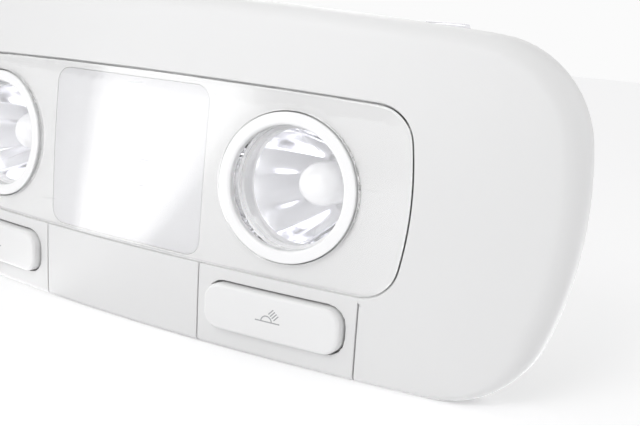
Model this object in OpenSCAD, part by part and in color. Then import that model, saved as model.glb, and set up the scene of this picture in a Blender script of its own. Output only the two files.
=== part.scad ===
// Rear seat light for a car roof: a crowned surround, a lens panel with two reading
// lights and a centre window, and a lower strip with two push buttons.
// The front faces -Y and the light stands on its long lower edge, so Z points up.
// Depths run back from the middle of the crowned front, heights from the lens axis.

/* [Surround] */
// Overall width of the surround
body_w = 218.6; // [212:0.2:226]
// Overall height of the surround
body_h = 82; // [80:0.5:86]
// Radius of the crowned front
crown_r = 460; // [400:10:700]
// Depth from the middle of the front to the rear rim
rim_y = 20; // [19:0.5:24]
// Wall of the surround
wall = 2.4; // [2:0.1:3]
// Rounding between the front and the side walls
edge_r = 4.6; // [3.6:0.1:6]
// Rounding along the straight lower edge
floor_edge_r = 1.4; // [1:0.1:2.4]
// Radius of the bowed top edge
top_bow_r = 1180; // [1000:20:1500]
// Radius of the bowed ends
side_bow_r = 90; // [80:1:120]
// Height of the widest point above the lens axis
side_bow_z = 3; // [0:0.5:5]
// Radius of the upper corners
upper_corner_r = 24.4; // [23:0.2:27]
// Radius of the lower corners
lower_corner_r = 22; // [20:0.5:23]

/* [Lens panel] */
// Width of the lens panel
panel_w = 151; // [147:0.5:154]
// Height of the panel above the lens axis
panel_top = 22; // [21.5:0.1:23]
// Height of the panel below the lens axis
panel_bottom = 21; // [20.5:0.1:21.5]
// Corner radius of the panel
panel_corner_r = 8.5; // [6:0.5:12]
// Radius of the panel's bowed ends
panel_bow_r = 75; // [60:1:120]
// Radius of the panel's bowed top edge
panel_top_bow_r = 1850; // [1400:50:2600]
// Thickness of the clear panel
panel_t = 1.5; // [1.2:0.1:2]
// Gap between the panel and the surround
panel_gap = 0.4; // [0.3:0.05:0.6]
// Thickness of the painted mask behind the panel
mask_t = 1.4; // [1:0.1:1.6]
// Lap of the mask behind the surround
mask_lap = 1.4; // [0.8:0.1:1.6]
// Width of the centre window
window_w = 49; // [40:0.5:50]
// Height of the centre window
window_h = 40.6; // [36:0.2:41]
// Corner radius of the centre window
window_corner_r = 4; // [2:0.5:6]
// Thickness of the frosted window
window_t = 1.2; // [1:0.1:1.6]

/* [Reading lights] */
// Distance from the centre line to each reading light
lamp_x = 46.75; // [46.5:0.25:48]
// Outer radius of the lens ring
ring_r = 17; // [16:0.1:17.2]
// Width of the lens ring seen from the front
ring_w = 2.9; // [2:0.1:3.5]
// How far the ring stands in front of the panel
ring_proud = 0.5; // [0.2:0.1:1]
// How far the middle of the reading lens lies behind the crowned front
lens_sink = 0.7; // [0.5:0.1:1.4]
// Radius of the reading lens's domed face
lens_dome_r = 160; // [100:10:400]
// Radius of the bulb's glass
bulb_r = 5; // [4:0.1:5.2]
// Length of the bulb's glass
bulb_l = 15; // [13:0.5:16]

/* [Lower strip] */
// Distance from the centre line to the seams of the centre blank
seam_in = 25.6; // [24:0.1:26]
// Distance from the centre line to the outer seams of the button frames
seam_out = 66.6; // [66:0.1:68]
// Gap at a seam
seam_gap = 0.3; // [0.2:0.05:0.5]
// Wall of the strip's covers
skin_t = 2; // [1.6:0.1:2.2]
// Depth at which the covers' lower lips end
lip_y = 14; // [13:0.5:15]

/* [Buttons] */
// Distance from the centre line to the middle of a button
button_x = 46.1; // [45.9:0.1:46.4]
// Distance from the lens axis down to the middle of a button
button_drop = 30.1; // [29.8:0.1:30.4]
// Width of a button
button_w = 34.8; // [33:0.2:35.2]
// Height of a button
button_h = 11; // [10.6:0.2:11.6]
// Corner radius of a button
button_corner_r = 4; // [2:0.5:5]
// How far a button stands in front of its frame
button_proud = 2.2; // [1.9:0.1:3]
// Wall of a button
button_wall = 1.3; // [1.1:0.1:1.4]
// Travel of a button when pressed
button_travel = 1.8; // [1:0.1:2]
// Running gap round a button
run_gap = 0.5; // [0.4:0.05:0.6]
// Diameter of the return spring's wire
spring_wire = 0.8; // [0.5:0.1:0.9]
// Mean radius of the return spring
spring_r = 3.4; // [3.2:0.1:3.5]
// Working turns of the return spring
spring_turns = 4; // [3:1:5]

/* [Housing] */
// Front face of the housing's flange
flange_y = 16; // [15.5:0.5:17]
// Thickness of the housing's flange
flange_t = 2; // [1.6:0.1:2.5]
// Half width of the flange
flange_half_w = 79; // [78:0.5:79.5]
// Half width of the tray behind the flange
tray_half_w = 67; // [65:0.5:67.5]
// Half height of the tray behind the flange
tray_half_h = 24.5; // [24:0.1:25]
// Depth of the tray's outer back face
tray_y = 36; // [35.5:0.5:40]
// Wall of the tray
tray_wall = 2; // [1.6:0.1:2.2]
// Length of the connector behind the tray
connector_l = 7; // [6:0.5:10]
// Width of a retaining clip
clip_w = 9.4; // [6:0.2:10]
// Thickness of the clips' spring steel
clip_t = 0.8; // [0.5:0.1:1]

/* [Hidden] */
$fn = 96;
left = -1;
right = 1;
crown_fn = 360;
top_z = body_h / 2;
bottom_z = -body_h / 2;
button_z = -button_drop;
fit_gap = 0.3;
seat_gap = 0.1;

// Panel layers, each a depth behind the crown
mask_front = panel_t + seat_gap;
rebate = 0.3;
rebate_depth = wall - rebate;
lap_front = rebate_depth + seat_gap;
lap_back = lap_front + mask_t;
window_back = lap_back + window_t;

// Reading lights, from the ring to the socket
ring_bore_r = ring_r - ring_w;
collar_r = ring_r + fit_gap + 1.6;
collar_y = crown_depth(lamp_x + collar_r, 0) + lap_back + 1;
ring_flange_t = 1.4;
bowl_y = collar_y + ring_flange_t;
lens_ledge = 1;
lens_back_y = collar_y - 2;
bowl_t = 1.2;
bowl_front_r = ring_bore_r + 0.4;
bowl_neck_r = bulb_r + 1.2;
bowl_back_y = tray_y - 7;
neck_l = 1.5;
socket_y = bowl_back_y + neck_l;
socket_r = 7.6;
socket_flange_r = socket_r + 2.9;
socket_flange_l = 2;
grip_w = 14;
grip_t = 4;
grip_y = tray_y + connector_l - 1;
bulb_gap = 3;
bulb_tip_y = socket_y - bulb_gap - bulb_l;
wedge_w = 9.6;
wedge_t = 3;
wedge_l = 8;

// Centre light
tray_inner_y = tray_y - tray_wall;
rail_t = 0.8;
rail_y = tray_inner_y - rail_t;
trough_half_w = window_w / 2 + 0.9;
trough_half_h = window_h / 2 + 1;
trough_t = 1.2;
trough_back_y = rail_y - 0.5;
trough_r = trough_half_h - trough_t;
trough_axis_y = trough_back_y - trough_half_h;
trough_front_y = crown_depth(trough_half_w, trough_half_h) + window_back + fit_gap;
festoon_r = 5;
festoon_glass_l = 26;
festoon_cap_r = 3.6;
festoon_cap_l = 3.4;
festoon_y = 18.5;
contact_x = festoon_glass_l / 2 + festoon_cap_l + 0.6;
rail_z = 6;
rail_h = 4;
rail_half_l = lamp_x - socket_r - 0.6;

// Buttons, from the cap to the flange
button_inner_gap = 0.5;
switch_y = flange_y - 5.5;
switch_w = 14;
bore_floor_y = flange_y - 1;
skirt_y = switch_y - 1.5;
frame_collar_t = 1.2;
frame_collar_y = skirt_y - 0.3;
switch_h = button_h - 2 * button_wall - 2 * button_inner_gap;
stem_r = spring_r - spring_wire / 2 - 0.6;
stem_bore_r = stem_r + 0.35;
stem_y = bore_floor_y - button_travel - 0.8;
spring_seat_r = spring_r + spring_wire / 2 + 0.3;
spring_seat_y = crown_depth(button_x + spring_seat_r, button_z - spring_seat_r)
  - button_proud + button_wall + 0.3;

// Overall depth, from the button that reaches furthest forward to the connector
button_near = norm([button_x - button_w / 2 + button_corner_r,
                    button_drop - button_h / 2 + button_corner_r]) - button_corner_r;
front_y = min(0, crown_r - sqrt(pow(crown_r + button_proud, 2) - pow(button_near, 2)));
back_y = tray_y + connector_l;

// Fasteners and flange
flange_back_y = flange_y + flange_t;
flange_top = top_z - 5.8;
flange_bottom = bottom_z + 3.4;
flange_corner_r = 6;
screw_r = 1.15;
screw_l = 8;
screw_head_r = 3;
boss_r = 3.2;
top_screw_x = 60;
top_screw_z = (tray_half_h + flange_top) / 2;
low_screw_x = (tray_half_w + flange_half_w) / 2 - 0.5;
low_screw_z = flange_bottom + 7.6;
screw_places = [
  [-top_screw_x, top_screw_z], [top_screw_x, top_screw_z],
  [-low_screw_x, low_screw_z], [low_screw_x, low_screw_z]
];
clip_x = 72.4;

// Depth of the crowned front at a point, in front of a drop and behind a sink
function crown_depth(x, z, drop = 0, sink = 0) =
  crown_r - sqrt(pow(sqrt(pow(crown_r - sink, 2) - z * z) - drop, 2) - x * x);

// Crossing, on the right, of two circles with centres p and q and radii a and b
function crossing(p, a, q, b) =
  let (d = norm(q - p), u = (q - p) / d, s = (a * a - b * b + d * d) / (2 * d))
  p + s * u + sqrt(a * a - s * s) * [u[1], -u[0]];
function bearing(p, q) = atan2(q[1] - p[1], q[0] - p[0]);

// One arc of a closed outline: each entry holds the arc's centre, radius and angle
function arc(c, r, from, to, n) = [for (i = [0 : n - 1]) [c[0], c[1], r, from + (to - from) * i / n]];

// A closed outline of tangent arcs: straight below, bowed at the top and the ends
function arc_loop(half_w, top, bottom, top_r, side_r, side_z, upper_r, lower_r, parts, floor_parts) =
  let (
    side_c = [half_w - side_r, side_z],
    top_c = [0, top - top_r],
    lower_z = bottom + lower_r,
    lower_c = [side_c[0] + sqrt(pow(side_r - lower_r, 2) - pow(lower_z - side_z, 2)), lower_z],
    upper_c = crossing(top_c, top_r - upper_r, side_c, side_r - upper_r),
    low = bearing(side_c, lower_c),
    high = bearing(side_c, upper_c),
    crest = bearing(top_c, upper_c),
    half = concat(
      arc(lower_c, lower_r, -90, low, parts),
      arc(side_c, side_r, low, 0, parts / 2),
      arc(side_c, side_r, 0, high, parts / 2),
      arc(upper_c, upper_r, high, crest, parts + 2),
      arc(top_c, top_r, crest, 90, parts),
      [[top_c[0], top_c[1], top_r, 90]]
    ),
    mirrored = [for (i = [len(half) - 2 : -1 : 0]) [-half[i][0], half[i][1], half[i][2], 180 - half[i][3]]],
    floor_run = [for (i = [1 : 1 : floor_parts - 1])
      [lower_c[0] * (2 * i / floor_parts - 1), lower_c[1], lower_r, -90]]
  )
  concat(half, mirrored, floor_run);

// Points of such an outline, moved inwards by an inset
function loop_points(loop, inset = 0) =
  [for (o = loop) [o[0] + (o[2] - inset) * cos(o[3]), o[1] + (o[2] - inset) * sin(o[3])]];

body_loop = arc_loop(body_w / 2, top_z, bottom_z, top_bow_r, side_bow_r, side_bow_z,
                     upper_corner_r, lower_corner_r, 10, 16);
panel_loop = arc_loop(panel_w / 2, panel_top, -panel_bottom, panel_top_bow_r, panel_bow_r, 0,
                      panel_corner_r, panel_corner_r, 6, 1);

// Puts the design frame on the ground, with the middle of the depth at Y = 0
module place() {
  translate([0, -(front_y + back_y) / 2, -bottom_z]) children();
}

module along_y(y0, y1) {
  translate([0, y1, 0]) rotate([90, 0, 0]) linear_extrude(height = y1 - y0) children();
}

module rod_y(r, y0, y1, x = 0, z = 0) {
  translate([x, y0, z]) rotate([-90, 0, 0]) cylinder(r = r, h = y1 - y0);
}

module block(x0, x1, y0, y1, z0, z1) {
  translate([x0, y0, z0]) cube([x1 - x0, y1 - y0, z1 - z0]);
}

module rounded_rect(w, h, r) {
  square([w - 2 * r, h], center = true);
  square([w, h - 2 * r], center = true);
  for (x = [-1, 1], z = [-1, 1]) translate([x * (w / 2 - r), z * (h / 2 - r)]) circle(r = r);
}

module panel_shape(grow = 0) {
  polygon(loop_points(panel_loop, -grow));
}

// The solid behind the crowned front, a sink deeper than the front itself
module crown(sink = 0) {
  translate([0, crown_r, 0]) sphere(r = crown_r - sink, $fn = crown_fn);
}

// Keeps what lies between two depths behind the crowned front
module between_crowns(front, back) {
  difference() {
    intersection() {
      children();
      crown(front);
    }
    crown(back);
  }
}

// Rounding at a place on the outline: small along the floor, full from the corners on
function edge_round(angle, sink) =
  max(0.3, floor_edge_r + (edge_r - floor_edge_r) * min(1, (1 + sin(angle)) / 0.7) - sink);

// The surround's outer form as rings of points: the rear rim, the wall, the rounded
// edge and then the crown, closed by a point in the middle
module crowned_body(sink, back_y, edge_parts, crown_insets, core_scales) {
  n = len(body_loop);
  last = crown_insets[len(crown_insets) - 1];
  core = loop_points(body_loop, sink + last);
  rings = concat(
    [[for (p = loop_points(body_loop, sink)) [p[0], back_y, p[1]]]],
    [for (i = [0 : edge_parts])
      let (t = 90 * i / edge_parts)
      [for (o = body_loop)
        let (e = edge_round(o[3], sink), p = loop_points([o], sink + e * (1 - cos(t)))[0])
        [p[0], crown_depth(p[0], p[1], e * (1 - sin(t)), sink), p[1]]]],
    [for (inset = crown_insets)
      [for (p = loop_points(body_loop, sink + inset)) [p[0], crown_depth(p[0], p[1], 0, sink), p[1]]]],
    [for (s = core_scales)
      [for (p = core) [s * p[0], crown_depth(s * p[0], s * p[1], 0, sink), s * p[1]]]]
  );
  apex = len(rings) * n;
  polyhedron(
    points = concat([for (ring = rings) each ring], [[0, sink, 0], [0, back_y, 0]]),
    faces = concat(
      [for (i = [0 : n - 1]) [apex + 1, i, (i + 1) % n]],
      [for (k = [0 : len(rings) - 2], i = [0 : n - 1])
        let (a = k * n + i, b = k * n + (i + 1) % n)
        each [[a, a + n, b + n], [a, b + n, b]]],
      [for (i = [0 : n - 1]) [apex - n + i, apex, apex - n + (i + 1) % n]]
    )
  );
}

// The front and the rounded lower edge, turned about the crown's upright axis
module strip_zone(sink) {
  e = edge_round(-90, sink);
  edge_parts = 6;
  rise_parts = 6;
  strip_top = 26;
  curve = concat(
    [for (i = [0 : edge_parts])
      let (t = 90 * i / edge_parts, z = bottom_z + sink + e * (1 - cos(t)))
      [sqrt(pow(crown_r - sink, 2) - z * z) - e * (1 - sin(t)), z]],
    [for (i = [1 : rise_parts])
      let (z = bottom_z + edge_r + strip_top * i / rise_parts)
      [sqrt(pow(crown_r - sink, 2) - z * z), z]]
  );
  inner_r = crown_r - 2 * rim_y;
  section = concat(curve, [[inner_r, curve[len(curve) - 1][1]], [inner_r, curve[0][1]]]);
  translate([0, crown_r, 0]) rotate_extrude(angle = 24, start = 258, $fn = 360) polygon(section);
}

// A cover of the lower strip between two distances from the centre line
module strip_cover(x0, x1) {
  difference() {
    intersection() {
      block(x0, x1, -edge_r, lip_y, bottom_z - 1, -panel_bottom - seam_gap);
      strip_zone(0);
    }
    strip_zone(skin_t);
  }
}

module bezel() {
  color([0.93, 0.93, 0.94]) place() {
    difference() {
      crowned_body(0, rim_y, 5, [9, 13, 18], [0.87, 0.75, 0.5, 0.25]);
      crowned_body(wall, rim_y + 1, 3, [8, 15], [0.6, 0.3]);
      along_y(-edge_r, lip_y) panel_shape(panel_gap);
      intersection() {
        along_y(0, lip_y) panel_shape(mask_lap + fit_gap);
        crown(rebate_depth);
      }
      block(-seam_out, seam_out, -edge_r, lip_y + seam_gap, bottom_z - 1, -panel_bottom + panel_corner_r);
    }
    for (p = screw_places) {
      difference() {
        intersection() {
          rod_y(boss_r, 0, flange_y, p[0], p[1]);
          crown(wall / 2);
        }
        rod_y(screw_r + 0.05, flange_y - screw_l, flange_y + 1, p[0], p[1]);
      }
    }
  }
}

module lens_panel() {
  color([0.95, 0.96, 0.97, 0.5]) place() {
    difference() {
      between_crowns(0, panel_t) along_y(-1, lip_y) panel_shape();
      for (s = [left, right]) rod_y(ring_r + fit_gap, -2, lip_y, s * lamp_x);
    }
  }
}

module lens_mask() {
  color([0.9, 0.9, 0.91]) place() {
    difference() {
      union() {
        between_crowns(mask_front, lap_back) along_y(-1, lip_y) panel_shape(-seat_gap);
        between_crowns(lap_front, lap_back) along_y(-1, lip_y) panel_shape(mask_lap);
        for (s = [left, right]) {
          intersection() {
            rod_y(collar_r, 0, collar_y, s * lamp_x);
            crown(lap_front);
          }
        }
      }
      for (s = [left, right]) rod_y(ring_r + fit_gap, -2, lip_y, s * lamp_x);
      along_y(-1, lip_y) rounded_rect(window_w, window_h, window_corner_r);
    }
  }
}

module window_diffuser() {
  lap = 1.6;
  color([0.99, 0.99, 1]) place() {
    between_crowns(mask_front, window_back - seat_gap) along_y(-1, lip_y)
      rounded_rect(window_w - 2 * seat_gap, window_h - 2 * seat_gap, window_corner_r - seat_gap);
    between_crowns(lap_back + seat_gap, window_back) along_y(-1, lip_y)
      rounded_rect(window_w + lap, window_h + lap, window_corner_r);
  }
}

module lens_ring(side) {
  color([0.98, 0.98, 0.99]) place() {
    difference() {
      union() {
        intersection() {
          rod_y(ring_r, -3, bowl_y, side * lamp_x);
          crown(-ring_proud);
        }
        rod_y(collar_r, collar_y, bowl_y, side * lamp_x);
      }
      rod_y(ring_bore_r, -4, lens_back_y, side * lamp_x);
      rod_y(ring_bore_r - lens_ledge, -4, bowl_y + 1, side * lamp_x);
    }
  }
}

module reading_lens(side) {
  reach = crown_r - lens_sink - lens_dome_r;
  tilt = asin(lamp_x / crown_r);
  color([0.85, 0.88, 0.92, 0.4]) place() {
    intersection() {
      rod_y(ring_bore_r - seat_gap, 0, lens_back_y, side * lamp_x);
      translate([side * reach * sin(tilt), crown_r - reach * cos(tilt), 0])
        sphere(r = lens_dome_r, $fn = crown_fn);
    }
  }
}

module centre_blank() {
  leg_x = 18;
  leg_w = 3;
  leg_h = 6;
  color([0.92, 0.92, 0.93]) place() {
    strip_cover(-seam_in + seam_gap, seam_in - seam_gap);
    for (s = [left, right]) {
      intersection() {
        block(s * leg_x - leg_w / 2, s * leg_x + leg_w / 2, 0, flange_y, button_z - leg_h / 2, button_z + leg_h / 2);
        crown(skin_t / 2);
      }
    }
  }
}

module button_shape(grow) {
  translate([0, button_z]) rounded_rect(button_w + 2 * grow, button_h + 2 * grow, button_corner_r + grow);
}

module at_button(side) {
  translate([side * button_x, 0, 0]) children();
}

module button_frame(side) {
  leg_h = 6;
  outer_x = button_w / 2 + run_gap + frame_collar_t;
  color([0.92, 0.92, 0.93]) place() {
    difference() {
      union() {
        strip_cover(min(side * seam_in, side * seam_out) + (side > 0 ? 0 : seam_gap),
                    max(side * seam_in, side * seam_out) - (side > 0 ? seam_gap : 0));
        intersection() {
          at_button(side) along_y(0, frame_collar_y) button_shape(run_gap + frame_collar_t);
          crown(skin_t / 2);
        }
        for (s = [left, right]) {
          at_button(side) block(
            min(s * outer_x, s * (outer_x - frame_collar_t)), max(s * outer_x, s * (outer_x - frame_collar_t)),
            frame_collar_y - 1, flange_y, button_z - leg_h / 2, button_z + leg_h / 2);
        }
      }
      at_button(side) along_y(-edge_r, frame_collar_y + 1) button_shape(run_gap);
    }
  }
}

module push_button(side) {
  hook_w = 6;
  hook_x = 11;
  hook_y = frame_collar_y + fit_gap;
  hook_reach = run_gap + 0.8;
  color([0.94, 0.94, 0.95]) place() {
    difference() {
      intersection() {
        at_button(side) along_y(-edge_r, skirt_y) button_shape(0);
        crown(-button_proud);
      }
      intersection() {
        at_button(side) along_y(-edge_r, skirt_y + 1) button_shape(-button_wall);
        crown(button_wall - button_proud);
      }
    }
    intersection() {
      union() {
        rod_y(stem_r, 0, stem_y, side * button_x, button_z);
        rod_y(spring_seat_r, 0, spring_seat_y, side * button_x, button_z);
      }
      crown(button_wall / 2 - button_proud);
    }
    for (s = [left, right], x = [-hook_x, hook_x]) {
      at_button(side) translate([x, 0, button_z + s * (button_h / 2 - button_wall / 2)]) {
        block(-hook_w / 2, hook_w / 2, skirt_y - 2, hook_y + 1.2, -button_wall / 2, button_wall / 2);
        block(-hook_w / 2, hook_w / 2, hook_y, hook_y + 1.2,
              min(0, s * (button_wall / 2 + hook_reach)), max(0, s * (button_wall / 2 + hook_reach)));
      }
    }
  }
}

// A round wire wound along Y, flat at neither end, as rings of points on a helix
module coil(r, wire, y0, y1, turns, sides, steps) {
  count = turns * steps;
  pitch = (y1 - y0 - wire) / turns;
  slope = atan(pitch / (2 * PI * r));
  points = [for (i = [0 : count], j = [0 : sides - 1])
    let (a = 360 * i / steps, b = 360 * j / sides, out = r + wire / 2 * cos(b), up = wire / 2 * sin(b))
    [out * cos(a) - up * sin(slope) * sin(a),
     y0 + wire / 2 + pitch * i / steps + up * cos(slope),
     out * sin(a) + up * sin(slope) * cos(a)]];
  faces = concat(
    [for (i = [0 : count - 1], j = [0 : sides - 1])
      let (a = i * sides + j, b = i * sides + (j + 1) % sides)
      each [[a, b, b + sides], [a, b + sides, a + sides]]],
    [[for (j = [sides - 1 : -1 : 0]) j], [for (j = [0 : sides - 1]) count * sides + j]]
  );
  polyhedron(points = points, faces = faces);
}

module button_spring(side) {
  color([0.7, 0.71, 0.73]) place() translate([side * button_x, 0, button_z])
    coil(spring_r, spring_wire, spring_seat_y + 0.02, switch_y - 0.02, spring_turns, 6, 16);
}

module button_switch(side) {
  color([0.16, 0.16, 0.17]) place() {
    difference() {
      at_button(side) block(-switch_w / 2, switch_w / 2, switch_y, flange_y,
                            button_z - switch_h / 2, button_z + switch_h / 2);
      rod_y(stem_bore_r, switch_y - 1, bore_floor_y, side * button_x, button_z);
    }
  }
}

module housing() {
  socket_hole_r = socket_r + fit_gap;
  divider_x = (trough_half_w + lamp_x - collar_r) / 2;
  divider_t = 1.2;
  vent_w = 9;
  vent_h = 2.2;
  vent_pitch = 4.4;
  hook_x = 52;
  hook_w = 8;
  color([0.88, 0.88, 0.87]) place() {
    difference() {
      union() {
        along_y(flange_y, flange_back_y) translate([0, (flange_top + flange_bottom) / 2])
          rounded_rect(2 * flange_half_w, flange_top - flange_bottom, flange_corner_r);
        along_y(flange_y, tray_y) rounded_rect(2 * tray_half_w, 2 * tray_half_h, 4);
      }
      along_y(flange_y - 1, tray_inner_y)
        rounded_rect(2 * (tray_half_w - tray_wall), 2 * (tray_half_h - tray_wall), 4 - tray_wall);
      for (s = [left, right]) rod_y(socket_hole_r, tray_inner_y - 1, tray_y + 1, s * lamp_x);
      for (i = [-2 : 2], s = [left, right]) {
        block(i * 11 - vent_w / 2, i * 11 + vent_w / 2, tray_inner_y - 1, tray_y + 1,
              s * (11 + vent_pitch) - vent_h / 2, s * (11 + vent_pitch) + vent_h / 2);
      }
      for (x = [-4, 4], z = [-rail_z, rail_z]) {
        block(x - 1.6, x + 1.6, tray_inner_y - 1, tray_y + 1, z - 0.8, z + 0.8);
      }
      for (p = screw_places) rod_y(screw_r + fit_gap, flange_y - 1, flange_back_y + 1, p[0], p[1]);
    }
    for (s = [left, right]) {
      block(s * divider_x - divider_t / 2, s * divider_x + divider_t / 2, flange_y, rail_y - fit_gap,
            -tray_half_h + tray_wall, tray_half_h - tray_wall);
      block(s * hook_x - hook_w / 2, s * hook_x + hook_w / 2, flange_back_y, flange_back_y + 7,
            flange_bottom + 1, flange_bottom + 3.4);
      block(s * hook_x - hook_w / 2, s * hook_x + hook_w / 2, flange_back_y + 5, flange_back_y + 7,
            flange_bottom - 1.6, flange_bottom + 1);
      for (x = [14, 30, 46]) {
        block(s * x - 0.75, s * x + 0.75, flange_back_y, tray_y - 4, tray_half_h, tray_half_h + 5);
        block(s * x - 0.75, s * x + 0.75, flange_back_y, tray_y - 4, -tray_half_h - 5, -tray_half_h);
      }
    }
  }
}

// A half pipe across the light, open to the front
module trough(half_l, r) {
  translate([-half_l, trough_axis_y, 0]) rotate([0, 90, 0]) cylinder(r = r, h = 2 * half_l);
  block(-half_l, half_l, 0, trough_axis_y, -r, r);
}

module centre_reflector() {
  slot_x = 1;
  slot_z = 3.8;
  color([0.97, 0.97, 0.96]) place() {
    difference() {
      intersection() {
        trough(trough_half_w, trough_half_h);
        block(-trough_half_w, trough_half_w, trough_front_y, trough_back_y, -trough_half_h, trough_half_h);
      }
      trough(trough_half_w - trough_t, trough_r);
      for (s = [left, right]) {
        block(s * contact_x - slot_x, s * contact_x + slot_x, trough_axis_y, trough_back_y + 1, -slot_z, slot_z);
      }
    }
  }
}

module reflector(side) {
  parts = 8;
  ratio = 1 - pow(bowl_neck_r / bowl_front_r, 2);
  bowl = [for (i = [0 : parts])
    let (t = i / parts) [bowl_front_r * sqrt(1 - ratio * t), bowl_y + (bowl_back_y - bowl_y) * t]];
  section = concat(
    bowl,
    [[bowl_neck_r, socket_y], [bowl_neck_r + bowl_t, socket_y]],
    [for (i = [parts : -1 : 1]) [bowl[i][0] + bowl_t, bowl[i][1]]],
    [[bowl[1][0] + bowl_t, bowl_y + bowl_t], [collar_r, bowl_y + bowl_t], [collar_r, bowl_y]]
  );
  color([0.85, 0.86, 0.88]) place() translate([side * lamp_x, 0, 0]) rotate([-90, 0, 0])
    rotate_extrude() polygon(section);
}

module reading_bulb(side) {
  dome_y = bulb_tip_y + bulb_r;
  color([0.9, 0.93, 0.96, 0.5]) place() {
    rod_y(bulb_r, dome_y, bulb_tip_y + bulb_l, side * lamp_x);
    translate([side * lamp_x, dome_y, 0]) sphere(r = bulb_r);
    block(side * lamp_x - wedge_w / 2, side * lamp_x + wedge_w / 2,
          bulb_tip_y + bulb_l - 2, bulb_tip_y + bulb_l + wedge_l, -wedge_t / 2, wedge_t / 2);
  }
}

module bulb_socket(side) {
  color([0.86, 0.86, 0.84]) place() {
    difference() {
      union() {
        rod_y(socket_r, socket_y, tray_y + socket_flange_l, side * lamp_x);
        rod_y(socket_flange_r, tray_y, tray_y + socket_flange_l, side * lamp_x);
        block(side * lamp_x - grip_w / 2, side * lamp_x + grip_w / 2,
              tray_y + socket_flange_l, grip_y, -grip_t / 2, grip_t / 2);
      }
      block(side * lamp_x - wedge_w / 2 - seat_gap, side * lamp_x + wedge_w / 2 + seat_gap,
            socket_y - 1, bulb_tip_y + bulb_l + wedge_l, -wedge_t / 2 - seat_gap, wedge_t / 2 + seat_gap);
    }
  }
}

module festoon_bulb() {
  tip_r = 1.6;
  tip_l = 2;
  color([0.93, 0.95, 0.97, 0.6]) place() translate([0, festoon_y, 0]) rotate([0, 90, 0]) {
    cylinder(r = festoon_r, h = festoon_glass_l, center = true);
    for (s = [0, 1]) mirror([0, 0, s]) {
      translate([0, 0, festoon_glass_l / 2]) cylinder(r = festoon_cap_r, h = festoon_cap_l);
      translate([0, 0, festoon_glass_l / 2 + festoon_cap_l]) cylinder(r = tip_r, h = tip_l);
    }
  }
}

// A brass rail with the spring contact that holds one end of the centre bulb
module contact_rail(side) {
  contact_t = 0.8;
  contact_h = 3.2;
  foot_w = 5;
  tip_hole_r = 1.9;
  color([0.8, 0.66, 0.36]) place() {
    block(-rail_half_l, rail_half_l, rail_y, tray_inner_y, -side * rail_z - rail_h / 2, -side * rail_z + rail_h / 2);
    block(side * contact_x - foot_w / 2, side * contact_x + foot_w / 2, rail_y, tray_inner_y,
          min(-side * rail_z, side * contact_h), max(-side * rail_z, side * contact_h));
    difference() {
      block(side * contact_x - contact_t / 2, side * contact_x + contact_t / 2,
            festoon_y - contact_h, tray_inner_y, -contact_h, contact_h);
      translate([side * contact_x - contact_t, festoon_y, 0]) rotate([0, 90, 0])
        cylinder(r = tip_hole_r, h = 2 * contact_t);
    }
  }
}

module connector() {
  shroud_w = 20;
  shroud_h = 19;
  shroud_wall = 1.4;
  color([0.2, 0.2, 0.21]) place() {
    difference() {
      along_y(tray_y, back_y) rounded_rect(shroud_w, shroud_h, 1.5);
      along_y(tray_y + 1, back_y + 1) rounded_rect(shroud_w - 2 * shroud_wall, shroud_h - 2 * shroud_wall, 1);
      for (x = [-4, 4], z = [-rail_z, rail_z]) {
        block(x - 1.6, x + 1.6, tray_y - 1, tray_y + 2, z - 0.8, z + 0.8);
      }
    }
  }
}

module connector_pins() {
  color([0.8, 0.66, 0.36]) place() {
    for (x = [-4, 4], z = [-rail_z, rail_z]) {
      block(x - 1.3, x + 1.3, tray_inner_y, back_y - 1.5, z - 0.4, z + 0.4);
    }
  }
}

// The section of a strip that is bent along a path
module bent_strip(path, t) {
  for (i = [0 : len(path) - 2]) {
    run = path[i + 1] - path[i];
    translate(path[i]) rotate(atan2(run[1], run[0])) translate([0, -t / 2]) square([norm(run), t]);
  }
  for (p = path) translate(p) circle(r = t / 2, $fn = 24);
}

// Spring steel, flat behind the flange and humped behind the surround's rim
module retaining_clip(side) {
  foot_z = tray_half_h + 1.5;
  foot_top = flange_top - 0.6;
  peak_z = top_z - 2;
  mid_y = flange_back_y + clip_t / 2;
  path = [
    [mid_y, foot_z], [mid_y, foot_top], [rim_y + 1, foot_top + 0.6], [rim_y + 1, peak_z],
    [rim_y + 2.6, peak_z], [tray_y - 6, foot_top - 3], [tray_y - 4, foot_top - 1.5]
  ];
  color([0.66, 0.67, 0.69]) place() translate([side * clip_x - clip_w / 2, 0, 0])
    rotate([90, 0, 90]) linear_extrude(height = clip_w) bent_strip(path, clip_t);
}

module housing_screws() {
  head_t = 2;
  color([0.6, 0.61, 0.63]) place() {
    for (p = screw_places) {
      rod_y(screw_r, flange_back_y - screw_l, flange_back_y + 0.5, p[0], p[1]);
      difference() {
        rod_y(screw_head_r, flange_back_y, flange_back_y + head_t, p[0], p[1]);
        for (a = [0, 90]) translate([p[0], flange_back_y + head_t, p[1]]) rotate([0, a, 0])
          cube([3.2, 2.4, 0.7], center = true);
      }
    }
  }
}

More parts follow.
